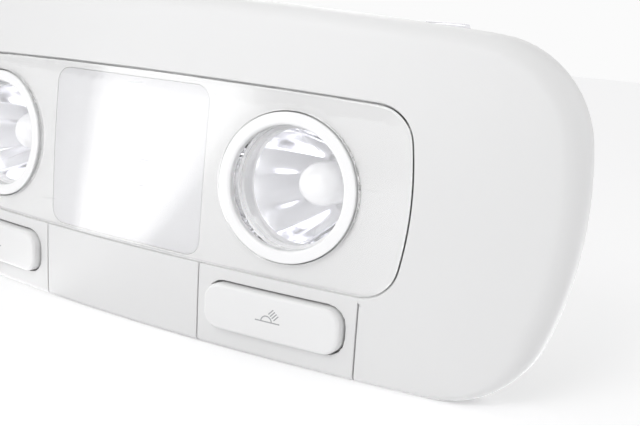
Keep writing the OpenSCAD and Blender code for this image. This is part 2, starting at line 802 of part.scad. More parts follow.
bezel();
lens_panel();
lens_mask();
window_diffuser();
lens_ring(left);  // lens_ring_left
lens_ring(right);  // lens_ring_right
reading_lens(left);  // reading_lens_left
reading_lens(right);  // reading_lens_right
centre_blank();
button_frame(left);  // button_frame_left
button_frame(right);  // button_frame_right
push_button(left);  // button_left
push_button(right);  // button_right
button_spring(left);  // button_spring_left
button_spring(right);  // button_spring_right
button_switch(left);  // button_switch_left
button_switch(right);  // button_switch_right
housing();
centre_reflector();
reflector(left);  // reflector_left
reflector(right);  // reflector_right
reading_bulb(left);  // reading_bulb_left
reading_bulb(right);  // reading_bulb_right
bulb_socket(left);  // bulb_socket_left
bulb_socket(right);  // bulb_socket_right
festoon_bulb();
contact_rail(left);  // feed_rail
contact_rail(right);  // earth_rail
connector();
connector_pins();
retaining_clip(left);  // retaining_clip_left
retaining_clip(right);  // retaining_clip_right
housing_screws();
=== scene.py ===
"""Looks of a rear seat light: a crowned surround, a clear lens panel and two push buttons.

Sizes are in millimetres in the light's design frame: X to the right, Y back from the middle of
the crowned front, Z up from the lens axis. Datum.place turns them into the row frame's metres.
"""

import logging
import math
from collections.abc import Callable, Sequence
from dataclasses import dataclass, field
from enum import Enum
from functools import partial

import bmesh
import bpy
from mathutils import Matrix, Vector


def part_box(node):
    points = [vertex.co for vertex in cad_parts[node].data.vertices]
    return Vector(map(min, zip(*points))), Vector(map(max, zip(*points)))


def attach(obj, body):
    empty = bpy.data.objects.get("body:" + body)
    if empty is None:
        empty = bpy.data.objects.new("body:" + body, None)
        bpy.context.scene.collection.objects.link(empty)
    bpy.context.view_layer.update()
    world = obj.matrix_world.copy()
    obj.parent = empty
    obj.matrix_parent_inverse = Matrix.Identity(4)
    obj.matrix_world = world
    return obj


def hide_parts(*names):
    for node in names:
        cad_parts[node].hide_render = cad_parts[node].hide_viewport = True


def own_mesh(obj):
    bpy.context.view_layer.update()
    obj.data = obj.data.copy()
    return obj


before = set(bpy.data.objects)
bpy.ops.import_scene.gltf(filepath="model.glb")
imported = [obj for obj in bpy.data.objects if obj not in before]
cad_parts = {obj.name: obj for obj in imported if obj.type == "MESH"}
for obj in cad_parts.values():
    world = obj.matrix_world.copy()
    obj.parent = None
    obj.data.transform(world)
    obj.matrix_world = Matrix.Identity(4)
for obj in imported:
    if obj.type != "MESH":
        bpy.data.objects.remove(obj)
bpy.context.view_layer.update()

MM = 0.001
WELD_GAP = 2e-6  # metres: closer points are one
CUT_GAP = 1e-5  # millimetres: closer points lie on a cut
POLE_R = 0.0005  # the ring that closes a pole
LEAST_CORNER_R = 0.01
SHARP_ANGLE = 38.0  # degrees: edges that bend more stay crisp
EDGE_FACETS = 4
UPRIGHT = 0.95  # a wire this near its own up direction takes another
LAMP_BODY = "lamp_body"
WHITE = (1.0, 1.0, 1.0, 1.0)
LOG = logging.getLogger("rear_seat_light")

Flat = tuple[float, float]
Point = tuple[float, float, float]
Colour = tuple[float, float, float]
Loop = Callable[[float], list[Flat]]


class Side(Enum):
    """The two halves of the light, as seen from the front."""

    LEFT = -1
    RIGHT = 1

    @property
    def label(self) -> str:
        """The side's name in a node or a piece."""
        return self.name.lower()


def steps(count: int) -> list[float]:
    """Gives count + 1 even steps from 0 to 1."""
    return [i / count for i in range(count + 1)]


def between(a: Flat, b: Flat, share: float) -> Flat:
    """Gives the point that lies a share of the way from a to b."""
    return (a[0] + (b[0] - a[0]) * share, a[1] + (b[1] - a[1]) * share)


def blended(first: Sequence[Flat], second: Sequence[Flat], share: float) -> list[Flat]:
    """Gives the loop that lies a share of the way from one loop to another."""
    return [between(a, b, share) for a, b in zip(first, second)]


def upright(loop: Sequence[Flat], y: float) -> list[Point]:
    """Stands a flat loop upright at a depth."""
    return [(x, y, z) for x, z in loop]


def quarter(radius: float, count: int) -> list[Flat]:
    """Gives a rounded edge as pairs of inset and drop, from the wall to the face.

    Args:
        radius: Radius of the rounding.
        count: Number of facets round it.

    Returns:
        Pairs that start at inset 0 and end at drop 0.
    """
    turn = [math.radians(90 * s) for s in steps(count)]
    return [(radius * (1 - math.cos(t)), radius * (1 - math.sin(t))) for t in turn]


@dataclass(frozen=True)
class Crown:
    """The crowned front, part of a sphere whose middle lies behind the light."""

    radius: float = 460.0

    def depth(self, x: float, z: float, sink: float = 0.0, drop: float = 0.0) -> float:
        """Gives the depth of the front at a point.

        Args:
            x: Distance from the middle.
            z: Height above the lens axis.
            sink: Distance behind the front, measured square to it.
            drop: Distance behind the front, measured towards its upright axis.

        Returns:
            The depth behind the middle of the front.
        """
        ring = math.sqrt((self.radius - sink) ** 2 - z * z) - drop
        return self.radius - math.sqrt(ring * ring - x * x)

    def wrap(self, loop: Sequence[Flat], sink: float = 0.0, back: float = 0.0) -> list[Point]:
        """Lays a flat loop on the front, sunk square to it and then moved straight back."""
        return [(x, self.depth(x, z, sink) + back, z) for x, z in loop]


CROWN = Crown()


@dataclass(frozen=True)
class Datum:
    """The place of the design frame in the row frame, read from the surround's own box."""

    apex_y: float
    axis_z: float

    @classmethod
    def from_frame(cls, rim_y: float) -> "Datum":
        """Reads the datum from the surround, whose rear rim lies rim_y behind the front."""
        low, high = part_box("bezel")
        return cls(high.y - rim_y * MM, (low.z + high.z) / 2)

    def place(self, x: float, y: float, z: float) -> Vector:
        """Turns a point of the design frame into metres in the row frame."""
        return Vector((x * MM, self.apex_y + y * MM, self.axis_z + z * MM))


@dataclass(frozen=True)
class Station:
    """A point of an outline, held by the arc that it lies on."""

    centre: Flat
    radius: float
    turn: float

    def at(self, inset: float) -> Flat:
        """Gives the point, moved inwards.

        Args:
            inset: Distance that it moves by.

        Returns:
            The point as X and Z.
        """
        reach = self.radius - inset
        turn = math.radians(self.turn)
        return (self.centre[0] + reach * math.cos(turn), self.centre[1] + reach * math.sin(turn))

    def mirrored(self) -> "Station":
        """Gives the same point on the other side of the light."""
        return Station((-self.centre[0], self.centre[1]), self.radius, 180 - self.turn)


@dataclass(frozen=True)
class ArcOutline:
    """A closed outline of tangent arcs: straight below, bowed at the top and the ends."""

    half_w: float
    top: float
    bottom: float
    top_r: float
    end_r: float
    end_z: float
    upper_r: float
    lower_r: float
    counts: tuple[int, int, int] = (12, 18, 26)

    def right_half(self) -> list[Station]:
        """Gives the stations of the right half.

        Returns:
            The stations, from the right lower corner up and over to the top's middle.
        """
        end = (self.half_w - self.end_r, self.end_z)
        top = (0.0, self.top - self.top_r)
        low_z = self.bottom + self.lower_r
        low_x = end[0] + math.sqrt((self.end_r - self.lower_r) ** 2 - (low_z - self.end_z) ** 2)
        lower = (low_x, low_z)
        upper = self._crossing(top, self.top_r - self.upper_r, end, self.end_r - self.upper_r)
        low = self._bearing(end, lower)
        high = self._bearing(end, upper)
        crest = self._bearing(top, upper)
        corner, side, crown = self.counts
        runs = [
            (lower, self.lower_r, -90.0, low, corner),
            (end, self.end_r, low, high, side),
            (upper, self.upper_r, high, crest, corner),
            (top, self.top_r, crest, 90.0, crown),
        ]
        found = []
        for centre, radius, start, stop, count in runs:
            found += [Station(centre, radius, start + (stop - start) * s) for s in steps(count)[:-1]]
        found.append(Station(top, self.top_r, 90.0))
        return found

    def loop(self, inset: float) -> list[Flat]:
        """Gives the whole outline, moved inwards.

        Args:
            inset: Distance that it moves by.

        Returns:
            The outline's points as a closed loop.
        """
        half = self.right_half()
        rest = [s.mirrored() for s in reversed(half[:-1])]
        return [s.at(inset) for s in half + rest]

    @staticmethod
    def _crossing(p: Flat, a: float, q: Flat, b: float) -> Flat:
        """Finds where two circles cross, on the right.

        Args:
            p: Middle of the first circle.
            a: Its radius.
            q: Middle of the second circle.
            b: Its radius.

        Returns:
            The crossing.
        """
        gap = math.dist(p, q)
        u = ((q[0] - p[0]) / gap, (q[1] - p[1]) / gap)
        along = (a * a - b * b + gap * gap) / (2 * gap)
        off = math.sqrt(a * a - along * along)
        return (p[0] + along * u[0] + off * u[1], p[1] + along * u[1] - off * u[0])

    @staticmethod
    def _bearing(p: Flat, q: Flat) -> float:
        """Gives the direction from p to q in degrees."""
        return math.degrees(math.atan2(q[1] - p[1], q[0] - p[0]))


@dataclass(frozen=True)
class RoundedRect:
    """A rectangle with rounded corners, as a loop with the same count of points at any size."""

    centre: Flat
    width: float
    height: float
    corner_r: float
    corner_count: int = 8
    long_count: int = 28
    short_count: int = 10

    def loop(self, grow: float = 0.0) -> list[Flat]:
        """Gives the loop, grown outwards.

        Args:
            grow: Distance that it grows by.

        Returns:
            The loop's points, from the right lower corner on.
        """
        radius = max(self.corner_r + grow, LEAST_CORNER_R)
        half_w = self.width / 2 + grow - radius
        half_h = self.height / 2 + grow - radius
        signs = ((1, -1, -90), (1, 1, 0), (-1, 1, 90), (-1, -1, 180))
        arcs = []
        for across, up, start in signs:
            cx, cz = across * half_w, up * half_h
            turns = [math.radians(start + 90 * s) for s in steps(self.corner_count)]
            arcs.append([(cx + radius * math.cos(t), cz + radius * math.sin(t)) for t in turns])
        spans = (self.short_count, self.long_count) * 2
        found: list[Flat] = []
        for arc, following, span in zip(arcs, arcs[1:] + arcs[:1], spans):
            found += arc
            found += [between(arc[-1], following[0], s) for s in steps(span)[1:-1]]
        return [(self.centre[0] + x, self.centre[1] + z) for x, z in found]

    def spine(self) -> list[Flat]:
        """Gives each of the loop's points, moved to the rectangle's long middle line.

        Returns:
            As many points as the loop has.
        """
        reach = (self.width - self.height) / 2
        x0, z0 = self.centre
        return [(x0 + min(max(x - x0, -reach), reach), z0) for x, _ in self.loop()]


def pillow(
    rect: RoundedRect,
    gap: float,
    edge: float,
    counts: tuple[int, int],
    face: Callable[[list[Flat], float], list[Point]],
) -> list[list[Point]]:
    """Gives the rings of a face with a rounded edge.

    Args:
        rect: The face's outline.
        gap: Distance that the face stays inside the outline.
        edge: Radius of the rounded edge.
        counts: Numbers of facets round the edge and of rows across the face.
        face: Lays a loop on the face, dropped by a distance.

    Returns:
        The rings, from the outline's middle line out to its wall.
    """
    facets, rows = counts
    rings = [face(rect.loop(-gap - inset), drop) for inset, drop in quarter(edge, facets)]
    inner, spine = rect.loop(-gap - edge), rect.spine()
    rings += [face(blended(inner, spine, s), 0.0) for s in steps(rows)[1:]]
    return rings[::-1]


def circle(centre: Flat, radius: float, count: int = 96) -> list[Flat]:
    """Gives a circle as a closed loop of points."""
    turns = [math.tau * i / count for i in range(count)]
    return [(centre[0] + radius * math.cos(t), centre[1] + radius * math.sin(t)) for t in turns]


def add_object(name: str, data: bpy.types.ID) -> bpy.types.Object:
    """Makes an object and links it to the scene.

    Args:
        name: Its name.
        data: Its mesh, light or camera.

    Returns:
        The new object.
    """
    made = bpy.data.objects.new(name, data)
    bpy.context.scene.collection.objects.link(made)
    return made


class Shell:
    """A mesh under construction, from points in the design frame."""

    def __init__(self, datum: Datum) -> None:
        """Starts an empty mesh.

        Args:
            datum: Place of the design frame in the row frame.
        """
        self.datum = datum
        self.points: list[Vector] = []
        self.faces: list[tuple[int, ...]] = []

    def ring(self, points: Sequence[Point]) -> list[int]:
        """Adds points.

        Args:
            points: The points in the design frame.

        Returns:
            Their numbers in the mesh.
        """
        first = len(self.points)
        self.points.extend(self.datum.place(*p) for p in points)
        return list(range(first, len(self.points)))

    def band(self, a: list[int], b: list[int]) -> None:
        """Joins two closed rings of equal length with faces."""
        self.faces += zip(a, a[1:] + a[:1], b[1:] + b[:1], b)

    def loft(self, rings: Sequence[Sequence[Point]], wrap: bool = False, caps: bool = False) -> "Shell":
        """Joins closed rings in order.

        Args:
            rings: Rings with equal counts of points.
            wrap: Whether the last ring joins the first.
            caps: Whether the first and the last ring are closed by a face.

        Returns:
            The same mesh, for the next call.
        """
        numbers = [self.ring(r) for r in rings]
        for a, b in zip(numbers, numbers[1:]):
            self.band(a, b)
        if wrap:
            self.band(numbers[-1], numbers[0])
        if caps:
            self.faces.append(tuple(reversed(numbers[0])))
            self.faces.append(tuple(numbers[-1]))
        return self

    def lathe(self, axis: Flat, profile: Sequence[Flat], count: int) -> "Shell":
        """Turns a profile of radii and depths about a line along Y, at a place in X and Z."""
        return self.loft([upright(circle(axis, max(r, POLE_R), count), y) for r, y in profile])

    def block(self, low: Point, high: Point, edge: float = 0.15) -> None:
        """Adds a block with bevelled edges.

        Args:
            low: Its left, front, lower corner.
            high: Its right, rear, upper corner.
            edge: Width of the bevels.
        """
        centre = ((low[0] + high[0]) / 2, (low[2] + high[2]) / 2)
        width, height = high[0] - low[0], high[2] - low[2]
        rect = RoundedRect(centre, width, height, edge, corner_count=2, long_count=1, short_count=1)
        rings = [(-edge, low[1]), (0.0, low[1] + edge), (0.0, high[1] - edge), (-edge, high[1])]
        self.loft([upright(rect.loop(grow), y) for grow, y in rings], caps=True)

    def tube(self, path: Sequence[Point], radius: float, sides: int) -> "Shell":
        """Adds a round wire.

        Args:
            path: The points that it runs through.
            radius: Half its thickness.
            sides: Number of facets round it.

        Returns:
            The same mesh, for the next call.
        """
        rings = []
        places = [Vector(p) for p in path]
        turns = [math.tau * j / sides for j in range(sides)]
        up = Vector((0.0, 0.0, 1.0))
        for i, place in enumerate(places):
            along = (places[min(i + 1, len(places) - 1)] - places[max(i - 1, 0)]).normalized()
            if abs(along.dot(up)) > UPRIGHT:
                up = Vector((1.0, 0.0, 0.0)) if abs(along.x) < 0.9 else Vector((0.0, 1.0, 0.0))
            across = along.cross(up).normalized()
            up = across.cross(along).normalized()
            spokes = [across * math.cos(t) + up * math.sin(t) for t in turns]
            rings.append([tuple(place + radius * spoke) for spoke in spokes])
        return self.loft(rings, caps=True)

    def plate(
        self,
        outline: Loop,
        holes: Sequence[Loop],
        front: float,
        back: float,
        edge: float,
        grid: float = 4.0,
    ) -> "Shell":
        """Adds a plate with holes, whose faces follow the crowned front.

        Args:
            outline: Gives the outer loop at an inset.
            holes: Each gives the loop of a hole, grown outwards.
            front: Distance of its front face behind the crowned front.
            back: Distance of its back face behind the crowned front.
            edge: Radius of the rounded front edges.
            grid: Size of the faces.

        Returns:
            The same mesh, for the next call.
        """
        flat = bmesh.new()
        open_edges = []
        for loops in (outline, *holes):
            rows = []
            for inset, drop in quarter(edge, EDGE_FACETS):
                rows.append([flat.verts.new((x, z, drop)) for x, z in loops(inset)])
            for a, b in zip(rows, rows[1:]):
                for quad in zip(a, a[1:] + a[:1], b[1:] + b[:1], b):
                    flat.faces.new(quad)
            last = rows[-1]
            open_edges += [flat.edges.get(pair) for pair in zip(last, last[1:] + last[:1])]
        bmesh.ops.triangle_fill(flat, use_beauty=True, edges=open_edges, normal=(0, 0, 1))
        for axis, normal in enumerate(((1, 0, 0), (0, 1, 0))):
            reach = [v.co[axis] for v in flat.verts]
            line = math.ceil(min(reach) / grid) * grid
            while line < max(reach):
                place = line * Vector(normal)
                whole = flat.verts[:] + flat.edges[:] + flat.faces[:]
                bmesh.ops.bisect_plane(flat, geom=whole, dist=CUT_GAP, plane_co=place, plane_no=normal)
                line += grid
        flat.verts.index_update()
        flat.normal_update()
        spots = [v.co.copy() for v in flat.verts]
        faces = []
        for face in flat.faces:
            numbers = [v.index for v in face.verts]
            faces.append(numbers if face.normal.z < 0 else numbers[::-1])
        rims = [(e.verts[0].index, e.verts[1].index) for e in flat.edges if e.is_boundary]
        flat.free()
        fore = self.ring([(p.x, CROWN.depth(p.x, p.y, front) + p.z, p.y) for p in spots])
        rear = self.ring([(p.x, CROWN.depth(p.x, p.y, back), p.y) for p in spots])
        self.faces += [tuple(fore[i] for i in numbers) for numbers in faces]
        self.faces += [tuple(rear[i] for i in reversed(numbers)) for numbers in faces]
        self.faces += [(fore[a], fore[b], rear[b], rear[a]) for a, b in rims]
        return self

    def finish(
        self, name: str, finish: "Finish", nodes: Sequence[str] = (), body: str = LAMP_BODY
    ) -> bpy.types.Object:
        """Makes the object, dresses it and seats it on its body.

        Args:
            name: Name of the piece.
            finish: Its finish.
            nodes: The CAD nodes that it stands for.
            body: The body that it rides on.

        Returns:
            The finished object.
        """
        mesh = bpy.data.meshes.new(name)
        mesh.from_pydata([tuple(p) for p in self.points], [], self.faces)
        work = bmesh.new()
        work.from_mesh(mesh)
        bmesh.ops.remove_doubles(work, verts=work.verts[:], dist=WELD_GAP)
        bmesh.ops.dissolve_degenerate(work, edges=work.edges[:], dist=WELD_GAP / 2)
        large = [f for f in work.faces if len(f.verts) > 4]
        bmesh.ops.triangulate(work, faces=large)
        bmesh.ops.recalc_face_normals(work, faces=work.faces[:])
        work.to_mesh(mesh)
        work.free()
        mesh.polygons.foreach_set("use_smooth", [True] * len(mesh.polygons))
        mesh.set_sharp_from_angle(angle=math.radians(SHARP_ANGLE))
        piece = add_object(name, mesh)
        piece.modifiers.new("even_shading", "WEIGHTED_NORMAL").keep_sharp = True
        finish.dress(piece)
        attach(piece, body)
        if nodes:
            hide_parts(*nodes)
        LOG.info("%s: %d faces on %s", name, len(mesh.polygons), body)
        return piece


class Tree:
    """A short way to add and link nodes."""

    def __init__(self, tree: bpy.types.NodeTree) -> None:
        """Holds the tree that the nodes go into."""
        self.tree = tree

    @classmethod
    def cleared(cls, owner: bpy.types.Material | bpy.types.World) -> "Tree":
        """Empties the node tree of a material or of the world.

        Args:
            owner: The material or the world.

        Returns:
            The helper for its tree.
        """
        owner.use_nodes = True
        owner.node_tree.nodes.clear()
        return cls(owner.node_tree)

    def link(self, source: bpy.types.NodeSocket, target: bpy.types.NodeSocket) -> None:
        """Links an output to an input."""
        self.tree.links.new(source, target)

    def add(self, kind: str, inputs: dict | None = None, **settings: object) -> bpy.types.Node:
        """Adds a node.

        Args:
            kind: The node's type, without its prefix.
            inputs: Values or sockets for its inputs, by name or number.
            settings: The node's own settings.

        Returns:
            The new node.
        """
        node = self.tree.nodes.new(kind)
        for name, value in settings.items():
            setattr(node, name, value)
        for name, value in (inputs or {}).items():
            if isinstance(value, bpy.types.NodeSocket):
                self.link(value, node.inputs[name])
            else:
                node.inputs[name].default_value = value
        return node

    def math(self, operation: str, *values: object) -> bpy.types.NodeSocket:
        """Adds a Math node and gives its result."""
        return self.add("ShaderNodeMath", dict(enumerate(values)), operation=operation).outputs[0]

    def mix(self, factor: object, first: object, second: object) -> bpy.types.NodeSocket:
        """Mixes two numbers by a factor."""
        return self.add("ShaderNodeMix", {"Factor": factor, 2: first, 3: second}).outputs[0]

    def mix_colours(self, factor: object, first: object, second: object) -> bpy.types.NodeSocket:
        """Mixes two colours by a factor."""
        inputs = {"Factor": factor, 6: first, 7: second}
        return self.add("ShaderNodeMix", inputs, data_type="RGBA").outputs[2]

    def noise(self, place: object, scale: object, detail: float, rough: float = 0.5) -> bpy.types.NodeSocket:
        """Adds a noise texture and gives its value."""
        inputs = {"Vector": place, "Scale": scale, "Detail": detail, "Roughness": rough}
        return self.add("ShaderNodeTexNoise", inputs).outputs[0]

    def drawn_out(self, place: object, scale: Point) -> bpy.types.NodeSocket:
        """Scales a place along each axis, so that a texture is drawn out along the small ones."""
        return self.add("ShaderNodeMapping", {"Vector": place, "Scale": scale}).outputs[0]

    def span(self, value: object, low: float, high: float, kind: str = "LINEAR") -> bpy.types.NodeSocket:
        """Gives 0 up to the low value, 1 from the high one on and a rise between."""
        inputs = {"Value": value, "From Min": low, "From Max": high}
        return self.add("ShaderNodeMapRange", inputs, interpolation_type=kind).outputs[0]


def group(name: str, inputs: dict[str, float | None], outputs: Sequence[str]) -> tuple[Tree, object, object]:
    """Starts a shader node group.

    Args:
        name: The group's name.
        inputs: Each input's name and value, or None for a vector.
        outputs: Names of the number outputs.

    Returns:
        The group's tree helper, its input node and its output node.
    """
    tree = bpy.data.node_groups.new(name, "ShaderNodeTree")
    for label, value in inputs.items():
        kind = "NodeSocketVector" if value is None else "NodeSocketFloat"
        socket = tree.interface.new_socket(label, in_out="INPUT", socket_type=kind)
        if value is not None:
            socket.default_value = value
    for label in outputs:
        tree.interface.new_socket(label, in_out="OUTPUT", socket_type="NodeSocketFloat")
    helper = Tree(tree)
    return helper, helper.add("NodeGroupInput"), helper.add("NodeGroupOutput")


class Effects:
    """The node groups that several finishes share."""

    def __init__(self) -> None:
        """Builds each group once."""
        self.moulded_grain = self._moulded_grain()
        self.handling = self._handling()
        self.drawn_metal = self._drawn_metal()

    @staticmethod
    def _moulded_grain() -> bpy.types.NodeTree:
        """Builds the fine eroded grain of a plastic moulding.

        Returns:
            The group's tree.
        """
        t, into, out = group("moulded_grain", {"Vector": None, "Size": 0.4}, ("Height", "Mask"))
        place = into.outputs["Vector"]
        scale = t.math("DIVIDE", 1 / MM, into.outputs["Size"])
        pits = t.noise(place, scale, detail=2.0, rough=0.6)
        coarse = {"Vector": place, "Scale": t.math("MULTIPLY", scale, 0.31)}
        hills = t.add("ShaderNodeTexVoronoi", coarse, feature="SMOOTH_F1").outputs["Distance"]
        t.link(t.math("ADD", pits, t.math("MULTIPLY", hills, 0.35)), out.inputs["Height"])
        t.link(pits, out.inputs["Mask"])
        return t.tree

    @staticmethod
    def _handling() -> bpy.types.NodeTree:
        """Builds soft clouds and faint rubbed streaks, as years of touch and dust leave.

        Returns:
            The group's tree.
        """
        t, into, out = group("handling", {"Vector": None, "Size": 40.0}, ("Mask", "Streaks"))
        place = into.outputs["Vector"]
        scale = t.math("DIVIDE", 1 / MM, into.outputs["Size"])
        clouds = t.noise(place, scale, detail=4.0)
        fine = t.math("MULTIPLY", scale, 9.0)
        rubs = t.noise(t.drawn_out(place, (0.25, 1.0, 3.0)), fine, detail=3.0)
        t.link(t.span(clouds, low=0.35, high=0.75), out.inputs["Mask"])
        t.link(t.span(rubs, low=0.62, high=0.8), out.inputs["Streaks"])
        return t.tree

    @staticmethod
    def _drawn_metal() -> bpy.types.NodeTree:
        """Builds the fine lines that rolling or drawing leaves on metal.

        Returns:
            The group's tree.
        """
        t, into, out = group("drawn_metal", {"Vector": None, "Size": 0.3}, ("Height", "Mask"))
        place = into.outputs["Vector"]
        scale = t.math("DIVIDE", 1 / MM, into.outputs["Size"])
        lines = t.noise(t.drawn_out(place, (0.04, 1.0, 1.0)), scale, detail=3.0)
        spots = t.math("ADD", t.noise(place, scale=180.0, detail=5.0), 0.5)
        t.link(lines, out.inputs["Height"])
        t.link(t.math("MULTIPLY", lines, spots), out.inputs["Mask"])
        return t.tree


@dataclass(frozen=True)
class Finish:
    """A finish with grain, handling and its own gloss, made as a material once."""

    slot: str
    colour: Colour
    roughness: float
    grain_size: float
    grain_height: float
    tone: float = 0.02
    rough_change: float = 0.08
    metallic: float = 0.0
    specular: float = 0.5
    name: str = ""

    @property
    def title(self) -> str:
        """The material's name."""
        return self.name or f"{self.slot}_finish"

    def material(self) -> bpy.types.Material:
        """Gives the material, which is built at the first call.

        Returns:
            The material.
        """
        found = bpy.data.materials.get(self.title)
        if found is None:
            found = bpy.data.materials.new(self.title)
            tree = Tree.cleared(found)
            shader = tree.add("ShaderNodeBsdfPrincipled")
            self.build(tree, shader, tree.add("ShaderNodeTexCoord").outputs["Object"])
            tree.add("ShaderNodeOutputMaterial", {"Surface": shader.outputs[0]})
        return found

    def build(self, tree: Tree, shader: bpy.types.Node, place: bpy.types.NodeSocket) -> None:
        """Fills in the shader: colour, gloss and surface.

        Args:
            tree: The material's tree.
            shader: The material's shader.
            place: The place on the piece, for the textures.
        """
        shader.inputs["Metallic"].default_value = self.metallic
        shader.inputs["Specular IOR Level"].default_value = self.specular
        relief = EFFECTS.drawn_metal if self.metallic > 0.5 else EFFECTS.moulded_grain
        grain = tree.add("ShaderNodeGroup", {"Vector": place, "Size": self.grain_size}, node_tree=relief)
        worn = tree.add("ShaderNodeGroup", {"Vector": place}, node_tree=EFFECTS.handling)
        tinted = self.tinted(tree, worn.outputs["Mask"], grain.outputs["Mask"])
        tree.link(tinted, shader.inputs["Base Color"])
        rough = tree.math("MULTIPLY_ADD", worn.outputs["Mask"], self.rough_change, self.roughness)
        rubbed = tree.math("MULTIPLY_ADD", worn.outputs["Streaks"], -self.rough_change, rough)
        tree.link(rubbed, shader.inputs["Roughness"])
        height = {"Height": grain.outputs["Height"], "Strength": 1.0, "Distance": self.grain_height * MM}
        tree.link(tree.add("ShaderNodeBump", height).outputs[0], shader.inputs["Normal"])

    def tinted(
        self, tree: Tree, clouds: bpy.types.NodeSocket, grain: bpy.types.NodeSocket
    ) -> bpy.types.NodeSocket:
        """Varies the colour a little.

        Args:
            tree: The material's tree.
            clouds: Mask of the handling.
            grain: Mask of the grain.

        Returns:
            The colour that varies.
        """
        plain, shade, pits = (
            (*(c * (1 - tone) for c in self.colour), 1.0) for tone in (0.0, self.tone, self.tone / 2)
        )
        return tree.mix_colours(grain, tree.mix_colours(clouds, plain, shade), pits)

    def dress(self, piece: bpy.types.Object) -> None:
        """Gives a piece or a CAD node this finish.

        Args:
            piece: The piece or the node.
        """
        piece.data.materials.clear()
        piece.data.materials.append(self.material())


@dataclass(frozen=True)
class ClearFinish(Finish):
    """A clear finish: light passes to what lies behind it."""

    ior: float = 1.49
    transmission: float = 1.0
    shade: float = 0.06

    def build(self, tree: Tree, shader: bpy.types.Node, place: bpy.types.NodeSocket) -> None:
        """Fills in the shader, which lets shadow and diffuse rays through.

        Args:
            tree: The material's tree.
            shader: The material's shader.
            place: The place on the piece, for the textures.
        """
        super().build(tree, shader, place)
        shader.inputs["Transmission Weight"].default_value = self.transmission
        shader.inputs["IOR"].default_value = self.ior
        path = tree.add("ShaderNodeLightPath")
        passing = tree.math("MAXIMUM", path.outputs["Is Shadow Ray"], path.outputs["Is Diffuse Ray"])
        solid = tree.math("MULTIPLY_ADD", passing, self.shade - 1.0, 1.0)
        tree.link(solid, shader.inputs["Alpha"])


EFFECTS = Effects()

# A finish is its slot, colour and roughness, then its grain's size and height in millimetres.
TRIM = Finish("trim_plastic", (0.795, 0.795, 0.795), 0.46, 0.34, 0.012, tone=0.012)
BUTTON = Finish("button_plastic", (0.87, 0.87, 0.87), 0.42, 0.3, 0.010, tone=0.012)
COVER = ClearFinish("clear_cover", (1.0, 1.0, 1.0), 0.03, 6.0, 0.001, tone=0.0, rough_change=0.03)
MASK = Finish("mask_plastic", (0.72, 0.72, 0.72), 0.3, 0.5, 0.004, tone=0.01)
WINDOW = ClearFinish(
    "frosted_window", (0.76, 0.76, 0.775), 0.3, 1.2, 0.004, tone=0.0, transmission=0.25, shade=0.3
)
RING = Finish("white_ring", (0.95, 0.95, 0.955), 0.2, 0.8, 0.002, tone=0.005, specular=0.6)
LENS = ClearFinish("clear_lens", (0.99, 0.99, 1.0), 0.015, 5.0, 0.001, tone=0.0, rough_change=0.02)
BOWL = Finish("bright_reflector", (0.96, 0.96, 0.98), 0.08, 2.5, 0.02, metallic=1.0, tone=0.03)
WHITE_BOWL = Finish("white_reflector", (0.93, 0.93, 0.93), 0.3, 0.8, 0.004, tone=0.01)
GLASS = ClearFinish(
    "bulb_glass", (1.0, 1.0, 1.0), 0.1, 4.0, 0.002, tone=0.0, ior=1.46, transmission=0.35, shade=0.4
)
HOUSING = Finish("housing_plastic", (0.72, 0.72, 0.7), 0.5, 0.5, 0.02, tone=0.05, rough_change=0.14)
SOCKET = Finish("socket_plastic", (0.62, 0.62, 0.58), 0.48, 0.5, 0.02, tone=0.05)
BRASS = Finish("contact_brass", (0.78, 0.6, 0.28), 0.3, 0.25, 0.006, metallic=1.0, tone=0.15)
BLACK = Finish("black_plastic", (0.025, 0.025, 0.028), 0.42, 0.4, 0.015, tone=0.1)
SPRING = Finish("spring_steel", (0.5, 0.5, 0.52), 0.3, 0.25, 0.006, metallic=1.0, tone=0.12)
SCREW = Finish("zinc_steel", (0.62, 0.62, 0.6), 0.34, 0.25, 0.006, metallic=1.0, tone=0.12)
FILAMENT = Finish("spring_steel", (0.3, 0.3, 0.32), 0.35, 0.2, 0.004, metallic=1.0, name="filament_wire")
INK = Finish("black_plastic", (0.4, 0.4, 0.415), 0.5, 0.4, 0.004, tone=0.06, name="grey_ink")


